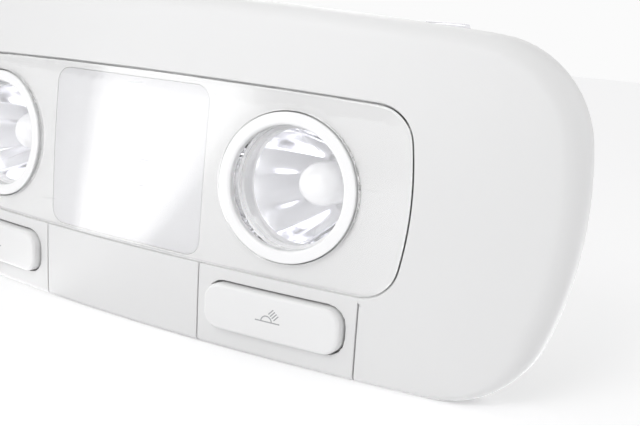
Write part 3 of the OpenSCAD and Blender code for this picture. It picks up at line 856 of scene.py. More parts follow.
@dataclass(frozen=True)
class Surround:
    """The crowned surround: front, rounded edge, side wall, rim and inner wall."""

    datum: Datum
    body: ArcOutline
    panel: ArcOutline
    wall: float = 2.4
    edge_r: float = 4.6
    floor_edge_r: float = 1.4
    rim_y: float = 20.0
    rim_edge: float = 0.3
    panel_gap: float = 0.4
    opening_edge: float = 0.45
    rebate_depth: float = 2.1
    rebate_grow: float = 1.7
    seam_x: float = 66.6
    seam_edge: float = 0.28
    rail_y: float = 14.3
    rail_lap: float = 0.2
    boss_r: float = 3.2
    bosses: tuple[Flat, ...] = ((60.0, 29.85), (-60.0, 29.85), (72.5, -30.0), (-72.5, -30.0))
    boss_y: float = 16.0
    boss_facets: int = 32
    least_edge: float = 0.3
    edge_fade: float = 0.7
    edge_facets: int = 9
    opening_facets: int = 5
    seam_facets: int = 3
    floor_steps: int = 9
    wall_steps: int = 5
    face_steps: int = 14
    inside_steps: int = 10

    def build(self) -> None:
        """Builds the whole surround as one piece."""
        shell = Shell(self.datum).loft(self._columns(), caps=True)
        half = self.seam_x + self.rail_lap
        shell.block((-half, self.rail_y, self.body.bottom), (half, self.rim_y, self.body.bottom + self.wall))
        for x, z in self.bosses:
            front = CROWN.depth(x, z, self.wall / 2)
            rod = [(0, front), (self.boss_r, front), (self.boss_r, self.boss_y), (0, self.boss_y)]
            shell.lathe((x, z), rod, self.boss_facets)
        shell.finish("surround", TRIM, ["bezel"])

    def _columns(self) -> list[list[Point]]:
        """Gives the closed cross-sections from the right seam round to the left one.

        Returns:
            The cross-sections, each from the rim over the front and back.
        """
        body = self.body.right_half()
        panel = self.panel.right_half()
        right = []
        for inset, fall in quarter(self.seam_edge, self.seam_facets):
            x = self.seam_x + inset
            right.append((self._on_floor(body[0], x), self._on_floor(panel[0], x), fall))
        start = self.seam_x + self.seam_edge
        for s in steps(self.floor_steps)[1:-1]:
            at_body, at_panel = (
                self._on_floor(first, start + (first.centre[0] - start) * s) for first in (body[0], panel[0])
            )
            right.append((at_body, at_panel, 0.0))
        right += [(b, p, 0.0) for b, p in zip(body, panel)]
        left = [(b.mirrored(), p.mirrored(), fall) for b, p, fall in reversed(right[:-1])]
        return [self._section(*column) for column in right + left]

    @staticmethod
    def _on_floor(station: Station, x: float) -> Station:
        """Moves a station of the straight floor to another place along it."""
        return Station((x, station.centre[1]), station.radius, station.turn)

    def _section(self, body: Station, panel: Station, fall: float) -> list[Point]:
        """Gives the closed cross-section at one station.

        Args:
            body: The station on the surround's outline.
            panel: The station on the opening's outline.
            fall: Distance that the outer face is sunk by.

        Returns:
            The section's points, from the rim over the front and back.
        """
        lip = panel.at(-self.rebate_grow)
        bend = body.at(self.wall + self._rounding(body, self.wall))
        opening = CROWN.wrap([panel.at(-self.panel_gap), lip], self.rebate_depth)
        opening += CROWN.wrap([between(lip, bend, s) for s in steps(self.inside_steps)[:-1]], self.wall)
        inner = self._outer_edge(body, self.wall)
        x, z = body.at(self.wall)
        return self._outer(body, panel, fall) + opening + inner[::-1] + [(x, self.rim_y, z)]

    def _outer(self, body: Station, panel: Station, fall: float) -> list[Point]:
        """Gives the outer face at one station.

        Args:
            body: The station on the surround's outline.
            panel: The station on the opening's outline.
            fall: Distance that the face is sunk by.

        Returns:
            Its points, from the rim to the edge of the panel's opening.
        """
        edge = self._outer_edge(body, fall)
        low = self.rim_y - self.rim_edge
        points = upright([body.at(fall + self.rim_edge)], self.rim_y)
        for s in steps(self.wall_steps)[:-1]:
            points += upright([body.at(fall)], low + (edge[0][1] - low) * s)
        points += edge
        bend = body.at(fall + self._rounding(body, fall))
        lip = panel.at(-self.panel_gap - self.opening_edge)
        points += CROWN.wrap([between(bend, lip, s) for s in steps(self.face_steps)[1:-1]], fall)
        for inset, drop in reversed(quarter(self.opening_edge, self.opening_facets)):
            points += CROWN.wrap([panel.at(-self.panel_gap - inset)], fall, drop)
        return points

    def _outer_edge(self, body: Station, sink: float) -> list[Point]:
        """Gives the rounded edge between the side wall and the crowned face.

        Args:
            body: The station on the surround's outline.
            sink: Distance that the edge is sunk by.

        Returns:
            Its points, from the side wall on.
        """
        found = []
        for inset, drop in quarter(self._rounding(body, sink), self.edge_facets):
            x, z = body.at(sink + inset)
            found.append((x, CROWN.depth(x, z, sink, drop), z))
        return found

    def _rounding(self, body: Station, sink: float) -> float:
        """Gives the edge's radius: small along the floor, full from the corners on."""
        share = min(1.0, (1 + math.sin(math.radians(body.turn))) / self.edge_fade)
        return max(self.least_edge, self.floor_edge_r + (self.edge_r - self.floor_edge_r) * share - sink)


@dataclass(frozen=True)
class LensPanel:
    """The clear panel, the painted mask behind it and the frosted window in the mask."""

    datum: Datum
    panel: ArcOutline
    lamp_x: float = 46.75
    hole_r: float = 17.3
    panel_t: float = 1.5
    panel_edge: float = 0.4
    mask_front: float = 1.6
    mask_inset: float = 0.1
    mask_edge: float = 0.08
    lap_front: float = 2.2
    lap_back: float = 3.6
    lap: float = 1.4
    collar_r: float = 18.9
    collar_y: float = 9.3
    window: RoundedRect = field(default_factory=lambda: RoundedRect((0.0, 0.0), 49.0, 40.6, 4.0))
    window_gap: float = 0.1
    window_edge: float = 0.2
    window_back: float = 4.8
    window_facets: int = 3
    window_steps: int = 14
    sleeve_t: float = 0.06
    sleeve_top: float = 0.25

    def build(self) -> None:
        """Builds the three layers."""
        lamps = [partial(self._lamp_hole, side) for side in Side]
        cover = Shell(self.datum).plate(self.panel.loop, lamps, 0.0, self.panel_t, self.panel_edge)
        cover.finish("clear_panel", COVER, ["lens_panel"])
        self._mask(lamps)
        self._window()

    def _lamp_hole(self, side: Side, grow: float) -> list[Flat]:
        """Gives the hole for one reading light, grown outwards."""
        return self._round(side, self.hole_r + grow)[::-1]

    def _window_hole(self, grow: float) -> list[Flat]:
        """Gives the mask's hole for the window, grown outwards."""
        return self.window.loop(grow)[::-1]

    def _mask_outline(self, inset: float = 0.0) -> list[Flat]:
        """Gives the mask's outline, moved inwards."""
        return self.panel.loop(self.mask_inset + inset)

    def _round(self, side: Side, radius: float) -> list[Flat]:
        """Gives a circle about a reading light's axis."""
        return circle((side.value * self.lamp_x, 0.0), radius)

    def _mask(self, lamps: Sequence[Loop]) -> None:
        """Builds the painted mask with its lap and its lamp collars.

        Args:
            lamps: The holes for the reading lights.
        """
        mask = Shell(self.datum)
        holes = [*lamps, self._window_hole]
        mask.plate(self._mask_outline, holes, self.mask_front, self.lap_back, self.mask_edge)
        inner, outer = self._mask_outline(), self.panel.loop(-self.lap)
        self._sleeve(mask, inner, outer, self.lap_front)
        for side in Side:
            hole, rim = self._round(side, self.hole_r), self._round(side, self.collar_r)
            front = [CROWN.wrap(loop, self.lap_back) for loop in (hole, rim)]
            back = [upright(loop, self.collar_y) for loop in (rim, hole)]
            mask.loft(front + back, wrap=True)
            self._sleeve(mask, self._round(side, self.hole_r - self.sleeve_t), hole, self.sleeve_top)
        mask.finish("lens_backing", MASK, ["lens_mask"])

    def _sleeve(self, mask: Shell, near: list[Flat], far: list[Flat], top: float) -> None:
        """Adds a closed band between two loops.

        Args:
            mask: The mesh to add to.
            near: The inner loop.
            far: The outer loop.
            top: Distance of its front behind the crowned front.
        """
        rows = [(near, top), (far, top), (far, self.lap_back), (near, self.lap_back)]
        mask.loft([CROWN.wrap(loop, sink) for loop, sink in rows], wrap=True)

    def _window(self) -> None:
        """Builds the frosted window, set in the mask."""
        rings = pillow(
            self.window,
            self.window_gap,
            self.window_edge,
            (self.window_facets, self.window_steps),
            lambda loop, drop: CROWN.wrap(loop, self.mask_front, drop),
        )
        wall, spine = self.window.loop(-self.window_gap), self.window.spine()
        rings += [CROWN.wrap(blended(wall, spine, s), self.window_back) for s in steps(self.window_steps)]
        Shell(self.datum).loft(rings).finish("centre_window", WINDOW, ["window_diffuser"])


@dataclass(frozen=True)
class ReadingLight:
    """One reading light: ring, lens, bright bowl and wedge bulb."""

    datum: Datum
    side: Side
    lamp_x: float = LensPanel.lamp_x
    ring_r: float = 17.0
    ring_w: float = 2.9
    ring_proud: float = 0.5
    outer_edge: float = 0.35
    inner_edge: float = 0.7
    edge_facets: int = 5
    seat_w: float = 1.0
    collar_r: float = LensPanel.collar_r
    collar_y: float = LensPanel.collar_y
    bowl_y: float = 10.7
    lens_sink: float = 0.7
    lens_dome_r: float = 160.0
    lens_back_y: float = 7.3
    lens_gap: float = 0.1
    lens_pole_r: float = 0.001
    lens_steps: int = 14
    lens_back_steps: int = 10
    round_facets: int = 128
    bowl_back_y: float = 29.0
    bowl_neck_r: float = 6.2
    bowl_lap: float = 0.4
    bowl_t: float = 1.2
    bowl_steps: int = 28
    facets: int = 12
    facet_points: int = 12
    facet_depth: float = 0.4
    socket_y: float = 30.5
    bulb_r: float = 5.0
    bulb_l: float = 15.0
    bulb_gap: float = 3.0
    glass_t: float = 0.5
    glass_facets: int = 64
    tip_facets: int = 12
    wall_steps: int = 5
    pinch: Point = (4.8, 8.0, 1.5)
    pinch_edge: float = 0.5
    filament_back: float = 1.5
    filament_half: float = 2.4
    filament_turns: int = 15
    filament_r: float = 0.32
    filament_wire: float = 0.07
    filament_points: int = 10
    lead_r: float = 0.2
    lead_x: float = 1.3
    lead_bends: tuple[Flat, Flat] = ((0.1, 1.0), (0.0, 2.0))

    @property
    def axis(self) -> Flat:
        """The light's axis as X and Z."""
        return (self.side.value * self.lamp_x, 0.0)

    def build(self) -> None:
        """Builds the light from the front to the back."""
        self._ring()
        self._lens()
        self._bowl()
        self._bulb()

    def _round(self, radius: float) -> list[Flat]:
        """Gives a circle about the light's axis."""
        return circle(self.axis, radius, self.round_facets)

    def _ring(self) -> None:
        """Builds the white ring, whose face follows the crowned front."""
        bore = self.ring_r - self.ring_w
        seat_r = bore - self.seat_w
        face = [(self.ring_r - inset, drop) for inset, drop in quarter(self.outer_edge, self.edge_facets)]
        face += [(bore + inset, drop) for inset, drop in reversed(quarter(self.inner_edge, self.edge_facets))]
        back = [(bore, self.lens_back_y), (seat_r, self.lens_back_y), (seat_r, self.bowl_y)]
        back += [(self.collar_r, self.bowl_y), (self.collar_r, self.collar_y)]
        rings = [upright(self._round(self.ring_r), self.collar_y)]
        rings += [CROWN.wrap(self._round(radius), -self.ring_proud, drop) for radius, drop in face]
        rings += [upright(self._round(radius), y) for radius, y in back]
        ring = Shell(self.datum).loft(rings, wrap=True)
        ring.finish(f"ring_{self.side.label}", RING, [f"lens_ring_{self.side.label}"])

    def _lens(self) -> None:
        """Builds the clear lens with its domed face."""
        radius = self.ring_r - self.ring_w - self.lens_gap
        reach = CROWN.radius - self.lens_sink - self.lens_dome_r
        tilt = math.asin(self.lamp_x / CROWN.radius)
        middle = (self.side.value * reach * math.sin(tilt), CROWN.radius - reach * math.cos(tilt))
        rings = []
        for s in steps(self.lens_steps):
            loop = self._round(max(radius * s, self.lens_pole_r))
            rings.append([(x, self._dome(x, z, middle), z) for x, z in loop])
        for s in steps(self.lens_back_steps):
            loop = self._round(max(radius * (1 - s), self.lens_pole_r))
            rings.append(upright(loop, self.lens_back_y))
        lens = Shell(self.datum).loft(rings)
        lens.finish(f"lens_{self.side.label}", LENS, [f"reading_lens_{self.side.label}"])

    def _dome(self, x: float, z: float, middle: Flat) -> float:
        """Gives the depth of the lens's domed face at a point."""
        return middle[1] - math.sqrt(self.lens_dome_r**2 - (x - middle[0]) ** 2 - z * z)

    def _bowl(self) -> None:
        """Builds the bright bowl with its soft facets and its neck."""
        front_r = self.ring_r - self.ring_w + self.bowl_lap
        ratio = 1 - (self.bowl_neck_r / front_r) ** 2
        wall = self.bowl_t
        run = self.bowl_back_y - self.bowl_y
        share = steps(self.bowl_steps)
        inside = [(front_r * math.sqrt(1 - ratio * s), self.bowl_y + run * s) for s in share]
        outside = [(r + wall, y) for r, y in reversed(inside[1:])]
        profile = [*inside, (self.bowl_neck_r, self.socket_y), (self.bowl_neck_r + wall, self.socket_y)]
        profile += [*outside, (inside[1][0] + wall, self.bowl_y + wall)]
        profile += [(self.collar_r, self.bowl_y + wall), (self.collar_r, self.bowl_y)]
        hollows = [self.facet_depth * math.sin(math.pi * i / self.bowl_steps) for i in range(len(inside))]
        hollows += [0.0] * (len(profile) - len(inside))
        rings = []
        count = self.facets * self.facet_points
        for (radius, depth), hollow in zip(profile, hollows):
            rings.append([self._faceted(j / count, radius, depth, hollow) for j in range(count)])
        bowl = Shell(self.datum).loft(rings, wrap=True)
        bowl.finish(f"bowl_{self.side.label}", BOWL, [f"reflector_{self.side.label}"])

    def _faceted(self, share: float, radius: float, depth: float, hollow: float) -> Point:
        """Gives a point of the bowl, whose facets bulge inwards.

        Args:
            share: Share of the way round.
            radius: Radius without the bulge.
            depth: Depth of the point.
            hollow: Height of the bulge.

        Returns:
            The point in the design frame.
        """
        turn = math.tau * share
        reach = radius - hollow * abs(math.sin(turn * self.facets / 2))
        return (self.axis[0] + reach * math.cos(turn), depth, reach * math.sin(turn))

    def _bulb(self) -> None:
        """Builds the wedge bulb: a thin glass envelope, its pinch and the filament inside."""
        x0 = self.axis[0]
        tip_y = self.socket_y - self.bulb_gap - self.bulb_l
        dome_y = tip_y + self.bulb_r
        foot_y = tip_y + self.bulb_l
        inside_r = self.bulb_r - self.glass_t
        turns = [math.radians(90 * s) for s in steps(self.tip_facets)]
        profile = [(self.bulb_r * math.sin(t), dome_y - self.bulb_r * math.cos(t)) for t in turns]
        profile += [(self.bulb_r, dome_y + (foot_y - dome_y) * s) for s in steps(self.wall_steps)[1:]]
        profile += [(inside_r, foot_y)]
        profile += [(inside_r * math.sin(t), dome_y - inside_r * math.cos(t)) for t in reversed(turns)]
        glass = Shell(self.datum).lathe(self.axis, profile, self.glass_facets)
        across, along, thick = self.pinch
        low, high = (x0 - across, foot_y, -thick), (x0 + across, foot_y + along, thick)
        glass.block(low, high, self.pinch_edge)
        glass.finish(f"bulb_{self.side.label}", GLASS, [f"reading_bulb_{self.side.label}"])
        self._filament(dome_y + self.filament_back, foot_y)

    def _filament(self, y: float, foot_y: float) -> None:
        """Builds the coiled filament and its two leads.

        Args:
            y: Depth of the filament.
            foot_y: Depth of the glass's foot.
        """
        x0, half = self.axis[0], self.filament_half
        coil = []
        for s in steps(self.filament_turns * self.filament_points):
            turn = math.tau * self.filament_turns * s
            swing = (self.filament_r * math.cos(turn), self.filament_r * math.sin(turn))
            coil.append((x0 - half + 2 * half * s, y + swing[0], swing[1]))
        wires = Shell(self.datum).tube(coil, self.filament_wire, sides=6)
        top, foot = self.lead_bends
        lead = [(half, y), (half - top[0], y + top[1])]
        lead += [(self.lead_x + foot[0], foot_y - foot[1]), (self.lead_x, foot_y)]
        for end in (-1, 1):
            wires.tube([(x0 + end * x, depth, 0.0) for x, depth in lead], self.lead_r, sides=8)
        wires.finish(f"filament_{self.side.label}", FILAMENT)


@dataclass(frozen=True)
class Strip:
    """The lower strip's section: front, rounded lower edge and lip."""

    top: float = -21.3
    bottom: float = -41.0
    edge_r: float = 1.4
    edge_run: float = 6.0
    lip_y: float = 14.0
    lip_run: float = 5.0
    ease: float = 2.0
    least_r: float = 0.3

    @property
    def front_run(self) -> float:
        """Length of the section's front."""
        return self.top - self.bottom - self.edge_r

    @property
    def length(self) -> float:
        """Length of the whole section."""
        return self.front_run + self.edge_run + self.lip_run

    def run_of(self, z: float) -> float:
        """Gives how far down the section a height lies.

        Args:
            z: Height above the lens axis.

        Returns:
            The distance down the section.
        """
        if z >= self.bottom + self.edge_r:
            return self.top - z
        turn = math.acos(1 - (z - self.bottom) / self.edge_r)
        return self.front_run + self.edge_run * (1 - turn * 2 / math.pi)

    def point(self, x: float, run: float, sink: float = 0.0) -> Point:
        """Gives a point of the strip.

        Args:
            x: Distance from the middle.
            run: Distance down the section.
            sink: Distance below the surface.

        Returns:
            The point in the design frame.
        """
        radius = max(self.least_r, self.edge_r - sink)
        edge_z = self.bottom + sink + radius
        if run <= self.front_run:
            z = self.top - run
            if z < edge_z + self.ease:
                end_z = self.bottom + self.edge_r
                z = edge_z + (z - end_z) * self.ease / (edge_z + self.ease - end_z)
            return (x, CROWN.depth(x, z, sink), z)
        rest = run - self.front_run - self.edge_run
        turn = max(-rest / self.edge_run, 0.0) * math.pi / 2
        z = self.bottom + sink + radius * (1 - math.cos(turn))
        y = CROWN.depth(x, z, sink, radius * (1 - math.sin(turn)))
        if rest > 0:
            y += (self.lip_y - y) * rest / self.lip_run
        return (x, y, z)


@dataclass(frozen=True)
class Button:
    """The sizes that a push button and its frame share."""

    centre_x: float = 46.1
    centre_z: float = -30.1
    width: float = 34.8
    height: float = 11.0
    corner_r: float = 4.0
    run_gap: float = 0.5

    def centre(self, side: Side) -> Flat:
        """Gives the button's middle on one side."""
        return (side.value * self.centre_x, self.centre_z)

    def outline(self, side: Side) -> RoundedRect:
        """Gives the button's outline on one side."""
        return RoundedRect(self.centre(side), self.width, self.height, self.corner_r)


@dataclass(frozen=True)
class LowerStrip:
    """The covers below the lens panel: a plain one and a frame round each button."""

    datum: Datum
    button: Button
    strip: Strip = field(default_factory=Strip)
    seam_in: float = 25.6
    seam_out: float = 66.6
    seam_gap: float = 0.3
    skin_t: float = 2.0
    edge: float = 0.2
    corner_r: float = 0.22
    collar_t: float = 1.2
    collar_y: float = 8.7
    counts: tuple[int, int, int] = (4, 40, 32)
    blank_steps: int = 40
    frame_steps: int = 20
    frame_back_steps: int = 16

    def build(self) -> None:
        """Builds the plain cover and then the two frames."""
        self._blank()
        for side in Side:
            self._frame(side)

    def _outline(self, low: float, high: float) -> RoundedRect:
        """Gives a cover's outline as distance across and distance down the section."""
        length = self.strip.length
        return RoundedRect(((low + high) / 2, length / 2), high - low, length, self.corner_r, *self.counts)

    def _skin(self, loop: Sequence[Flat], sink: float = 0.0) -> list[Point]:
        """Lays a loop of such distances on the strip, or below it."""
        return [self.strip.point(x, run, sink) for x, run in loop]

    def _blank(self) -> None:
        """Builds the plain cover in the middle."""
        reach = self.seam_in - self.seam_gap
        rect = self._outline(-reach, reach)
        rings = pillow(rect, 0.0, self.edge, (EDGE_FACETS, self.blank_steps), self._skin)
        wall, spine = rect.loop(), rect.spine()
        rings += [self._skin(blended(wall, spine, s), self.skin_t) for s in steps(self.blank_steps)]
        Shell(self.datum).loft(rings).finish("plain_cover", TRIM, ["centre_blank"])

    def _frame(self, side: Side) -> None:
        """Builds the frame round one button, with the collar that guides it.

        Args:
            side: The button's side.
        """
        inner, outer = self.seam_in, self.seam_out - self.seam_gap
        rect = self._outline(inner, outer) if side is Side.RIGHT else self._outline(-outer, -inner)
        button = self.button
        hole = RoundedRect(button.centre(side), button.width, button.height, button.corner_r, *self.counts)
        gap = button.run_gap
        rings = [self._skin(rect.loop(-inset), drop) for inset, drop in quarter(self.edge, EDGE_FACETS)]
        outline, around = rect.loop(-self.edge), self._matched(hole, gap + self.edge)
        rings += [self._skin(blended(outline, around, s)) for s in steps(self.frame_steps)[1:-1]]
        for inset, drop in reversed(quarter(self.edge, EDGE_FACETS)):
            rings.append(self._skin(self._matched(hole, gap + inset), drop))
        rings += [upright(self._flipped(hole, grow), self.collar_y) for grow in (gap, gap + self.collar_t)]
        back = self._matched(hole, gap + self.collar_t)
        for s in steps(self.frame_back_steps):
            rings.append(self._skin(blended(back, rect.loop(), s), self.skin_t))
        frame_shell = Shell(self.datum).loft(rings, wrap=True)
        frame_shell.finish(f"switch_frame_{side.label}", TRIM, [f"button_frame_{side.label}"])

    def _flipped(self, hole: RoundedRect, grow: float) -> list[Flat]:
        """Gives the hole's loop upside down, as the section runs downwards."""
        z0 = hole.centre[1]
        return [(x, 2 * z0 - z) for x, z in hole.loop(grow)]

    def _matched(self, hole: RoundedRect, grow: float) -> list[Flat]:
        """Gives the hole's loop as distance across and distance down the section."""
        return [(x, self.strip.run_of(z)) for x, z in self._flipped(hole, grow)]


@dataclass(frozen=True)
class PushButton:
    """One push button with its stem, its hooks, its spring and its mark."""

    datum: Datum
    side: Side
    button: Button
    proud: float = 2.2
    wall: float = 1.3
    edge: float = 0.85
    edge_facets: int = 8
    face_steps: int = 9
    hollow_steps: int = 6
    skirt_y: float = 9.0
    stem_r: float = 2.4
    stem_y: float = 12.4
    stem_edge: float = 0.4
    stem_facets: int = 48
    seat_r: float = 4.1
    seat_y: float = 3.43
    switch_y: float = 10.5
    travel: float = 1.8
    hook_x: float = 11.0
    hook_w: float = 6.0
    hook_reach: float = 1.3
    hook_root: float = 2.0
    hook_l: float = 1.2
    spring_r: float = 3.4
    spring_wire: float = 0.8
    spring_turns: int = 4
    spring_clear: float = 0.02
    spring_points: int = 28

    @property
    def body(self) -> str:
        """The name of the button's body."""
        return f"button_{self.side.label}"

    @property
    def centre(self) -> Flat:
        """The button's middle as X and Z."""
        return self.button.centre(self.side)

    def build(self) -> None:
        """Builds the button, its spring and its mark."""
        rect = self.button.outline(self.side)
        rings = pillow(rect, 0.0, self.edge, (self.edge_facets, self.face_steps), self.on_face)
        hollow, spine = rect.loop(-self.wall), rect.spine()
        rings += [upright(rect.loop(), self.skirt_y), upright(hollow, self.skirt_y)]
        rings += [self.on_face(blended(hollow, spine, s), self.wall) for s in steps(self.hollow_steps)]
        shell = Shell(self.datum).loft(rings)
        self._inner(shell)
        shell.finish(f"push_{self.side.label}", BUTTON, [f"button_{self.side.label}"], self.body)
        self._spring()
        Mark(self).build()

    def on_face(self, loop: Sequence[Flat], drop: float) -> list[Point]:
        """Lays a flat loop on the button's face, moved straight back by a drop."""
        return CROWN.wrap(loop, -self.proud, drop)

    def _inner(self, shell: Shell) -> None:
        """Adds the stem, the spring's seat and the four hooks.

        Args:
            shell: The button's mesh.
        """
        x0, z0 = self.centre
        half = self.wall / 2
        seat = CROWN.depth(x0, z0, -self.proud) + half
        tip_y, tip_r = self.stem_y - self.stem_edge, self.stem_r - self.stem_edge
        stem = [(0, seat), (self.seat_r, seat), (self.seat_r, self.seat_y), (self.stem_r, self.seat_y)]
        stem += [(self.stem_r, tip_y), (tip_r, self.stem_y), (0, self.stem_y)]
        shell.lathe(self.centre, stem, self.stem_facets)
        root, end = self.skirt_y - self.hook_root, self.skirt_y + self.hook_l
        for side in (-1, 1):
            edge = z0 + side * (self.button.height / 2 - half)
            tip = edge + side * (half + self.hook_reach)
            for across in (-self.hook_x, self.hook_x):
                low, high = x0 + across - self.hook_w / 2, x0 + across + self.hook_w / 2
                shell.block((low, root, edge - half), (high, end, edge + half))
                shell.block((low, self.skirt_y, min(edge, tip)), (high, end, max(edge, tip)))

    def _spring(self) -> None:
        """Builds the return spring, between the button's seat and its switch."""
        x0, z0 = self.centre
        radius = self.spring_wire / 2
        start = self.seat_y + radius + self.spring_clear
        stop = self.switch_y - radius - self.spring_clear
        path = []
        for s in steps(self.spring_turns * self.spring_points):
            turn = math.tau * self.spring_turns * s
            x, z = x0 + self.spring_r * math.cos(turn), z0 + self.spring_r * math.sin(turn)
            path.append((x, start + (stop - start) * s, z))
        coil = Shell(self.datum).tube(path, radius, sides=10)
        spring = coil.finish(f"spring_{self.side.label}", SPRING, [f"button_spring_{self.side.label}"])
        anchor = self.datum.place(x0, self.switch_y, z0)
        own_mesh(spring)


@dataclass(frozen=True)
class Mark:
    """The printed sign of a lamp and its rays, in thin grey ink on a button's face."""

    push: PushButton
    line: float = 0.28
    ink_t: float = 0.02
    base_half: float = 3.15
    base_drop: float = 0.75
    dome_r: float = 1.35
    dome_x: float = -0.25
    rays: int = 4
    ray_pitch: float = 0.62
    ray_length: float = 1.7
    ray_start: float = 1.75
    ray_lean: float = 47.0
    dome_facets: int = 20

    def build(self) -> None:
        """Builds the base line, the dome and the rays."""
        shell = Shell(self.push.datum)
        drop = self.base_drop
        self._stroke(shell, [(-self.base_half, -drop), (self.base_half, -drop)])
        turns = [math.radians(180 * s) for s in steps(self.dome_facets)]
        arc = [(self.dome_r * math.cos(t), self.dome_r * math.sin(t)) for t in turns]
        self._stroke(shell, [(self.dome_x + x, z - drop) for x, z in arc])
        lean = math.radians(self.ray_lean)
        out = (math.cos(lean), math.sin(lean))
        for i in range(self.rays):
            shift = (i - (self.rays - 1) / 2) * self.ray_pitch
            x = self.dome_x + self.ray_start * out[0] + shift * out[1]
            z = self.ray_start * out[1] - shift * out[0] - drop
            self._stroke(shell, [(x, z), (x + self.ray_length * out[0], z + self.ray_length * out[1])])
        shell.finish(f"mark_{self.push.side.label}", INK, body=self.push.body)

    def _stroke(self, shell: Shell, path: Sequence[Flat]) -> None:
        """Adds a flat stroke.

        Args:
            shell: The mark's mesh.
            path: The stroke's path, measured from the middle of the button.
        """
        side = self.push.side.value
        x0, z0 = self.push.centre
        rings = []
        for i, (x, z) in enumerate(path):
            before, after = path[max(i - 1, 0)], path[min(i + 1, len(path) - 1)]
            run = math.dist(before, after)
            away_x = -(after[1] - before[1]) / run * self.line / 2
            away_z = (after[0] - before[0]) / run * self.line / 2
            ring = []
            for sign, lift in ((1, -self.ink_t), (-1, -self.ink_t), (-1, self.ink_t), (1, self.ink_t)):
                spot = (x0 + side * (x + sign * away_x), z0 + z + sign * away_z)
                ring += self.push.on_face([spot], lift)
            rings.append(ring)
        shell.loft(rings, caps=True)


@dataclass(frozen=True)
class CentreLight:
    """The tubular bulb behind the window."""

    datum: Datum
    bulb_y: float = 18.5
    glass_r: float = 5.0
    glass_l: float = 26.0
    cap_r: float = 3.6
    cap_l: float = 3.4
    tip_r: float = 1.6
    tip_l: float = 2.0
    facets: int = 48
    cap_lap: float = 0.1
    cap_edge: Flat = (0.6, 0.8)
    shoulder: Sequence[Flat] = ((2.0, 0.0), (0.8, 0.5))

    def build(self) -> None:
        """Builds the bulb's glass and its two caps."""
        half = self.glass_l / 2
        ends = [(half - back, self.glass_r - drop) for back, drop in self.shoulder] + [(half, self.cap_r)]
        glass = [(-x, r) for x, r in reversed(ends)] + ends
        tube = Shell(self.datum).loft([self._across(x, r) for x, r in glass], caps=True)
        tube.finish("tube_bulb", GLASS, ["festoon_bulb"])
        foot, end = half - self.cap_lap, half + self.cap_l
        rows = [(foot, 0.0), (foot, self.cap_r), (end - self.cap_edge[0], self.cap_r)]
        rows += [(end, self.cap_r - self.cap_edge[1]), (end, self.tip_r)]
        rows += [(end + self.tip_l * 0.5, self.tip_r), (end + self.tip_l, 0.0)]
        caps = Shell(self.datum)
        for side in (-1, 1):
            caps.loft([self._across(side * x, max(r, POLE_R)) for x, r in rows])
        caps.finish("tube_bulb_caps", SCREW)

    def _across(self, x: float, radius: float) -> list[Point]:
        """Gives a ring about the bulb's axis, which runs across the light."""
        return [(x, y, z) for y, z in circle((self.bulb_y, 0.0), radius, self.facets)]


class CarriedOver:
    """CAD nodes that keep their shape and get a finish and soft edges."""

    EDGE = 0.12
    EDGE_ANGLE = 40.0
    FINISHES = {
        "housing": HOUSING,
        "centre_reflector": WHITE_BOWL,
        "feed_rail": BRASS,
        "earth_rail": BRASS,
        "connector": BLACK,
        "connector_pins": BRASS,
        "housing_screws": SCREW,
        "retaining_clip_left": SPRING,
        "retaining_clip_right": SPRING,
        "bulb_socket_left": SOCKET,
        "bulb_socket_right": SOCKET,
        "button_switch_left": BLACK,
        "button_switch_right": BLACK,
    }

    def dress(self) -> None:
        """Dresses each node and rounds its edges a little."""
        for name, finish in self.FINISHES.items():
            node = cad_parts[name]
            finish.dress(node)
            weld = node.modifiers.new("weld", "WELD")
            weld.merge_threshold = WELD_GAP
            soft = node.modifiers.new("soft_edges", "BEVEL")
            soft.width = self.EDGE * MM
            soft.segments = 2
            soft.limit_method = "ANGLE"
            soft.angle_limit = math.radians(self.EDGE_ANGLE)
            soft.harden_normals = False
            node.modifiers.new("even_shading", "WEIGHTED_NORMAL").keep_sharp = True
            LOG.info("%s: carried over as %s", name, finish.title)


def hang(name: str, data: bpy.types.Light, place: Point, along: Vector) -> None:
    """Hangs a lamp.

    Args:
        name: Its name.
        data: Its light.
        place: Where it hangs.
        along: The direction that it shines in.
    """
    lamp = add_object(name, data)
    lamp.location = place
    lamp.rotation_mode = "QUATERNION"
    lamp.rotation_quaternion = along.to_track_quat("-Z", "Y")


@dataclass(frozen=True)
class SoftLamp:
    """A broad soft light of the studio, far enough away to light the whole room alike."""

    name: str
    towards: Point
    level: float
    spread: float

    def build(self) -> None:
        """Hangs the lamp and turns it to the light."""
        data = bpy.data.lights.new(self.name, "SUN")
        data.energy = self.level * math.pi
        data.angle = math.radians(self.spread)
        place = Vector(self.towards).normalized()
        hang(self.name, data, place, -place)


@dataclass(frozen=True)
class SoftBox:
    """A square soft box near the light, whose glow falls off across it."""

    name: str
    place: Point
    aim: Point
    size: float
    watts: float

    def build(self) -> None:
        """Hangs the soft box and turns it to its aim."""
        data = bpy.data.lights.new(self.name, "AREA")
        data.shape = "SQUARE"
        data.size = self.size
        data.energy = self.watts
        hang(self.name, data, self.place, Vector(self.aim) - Vector(self.place))


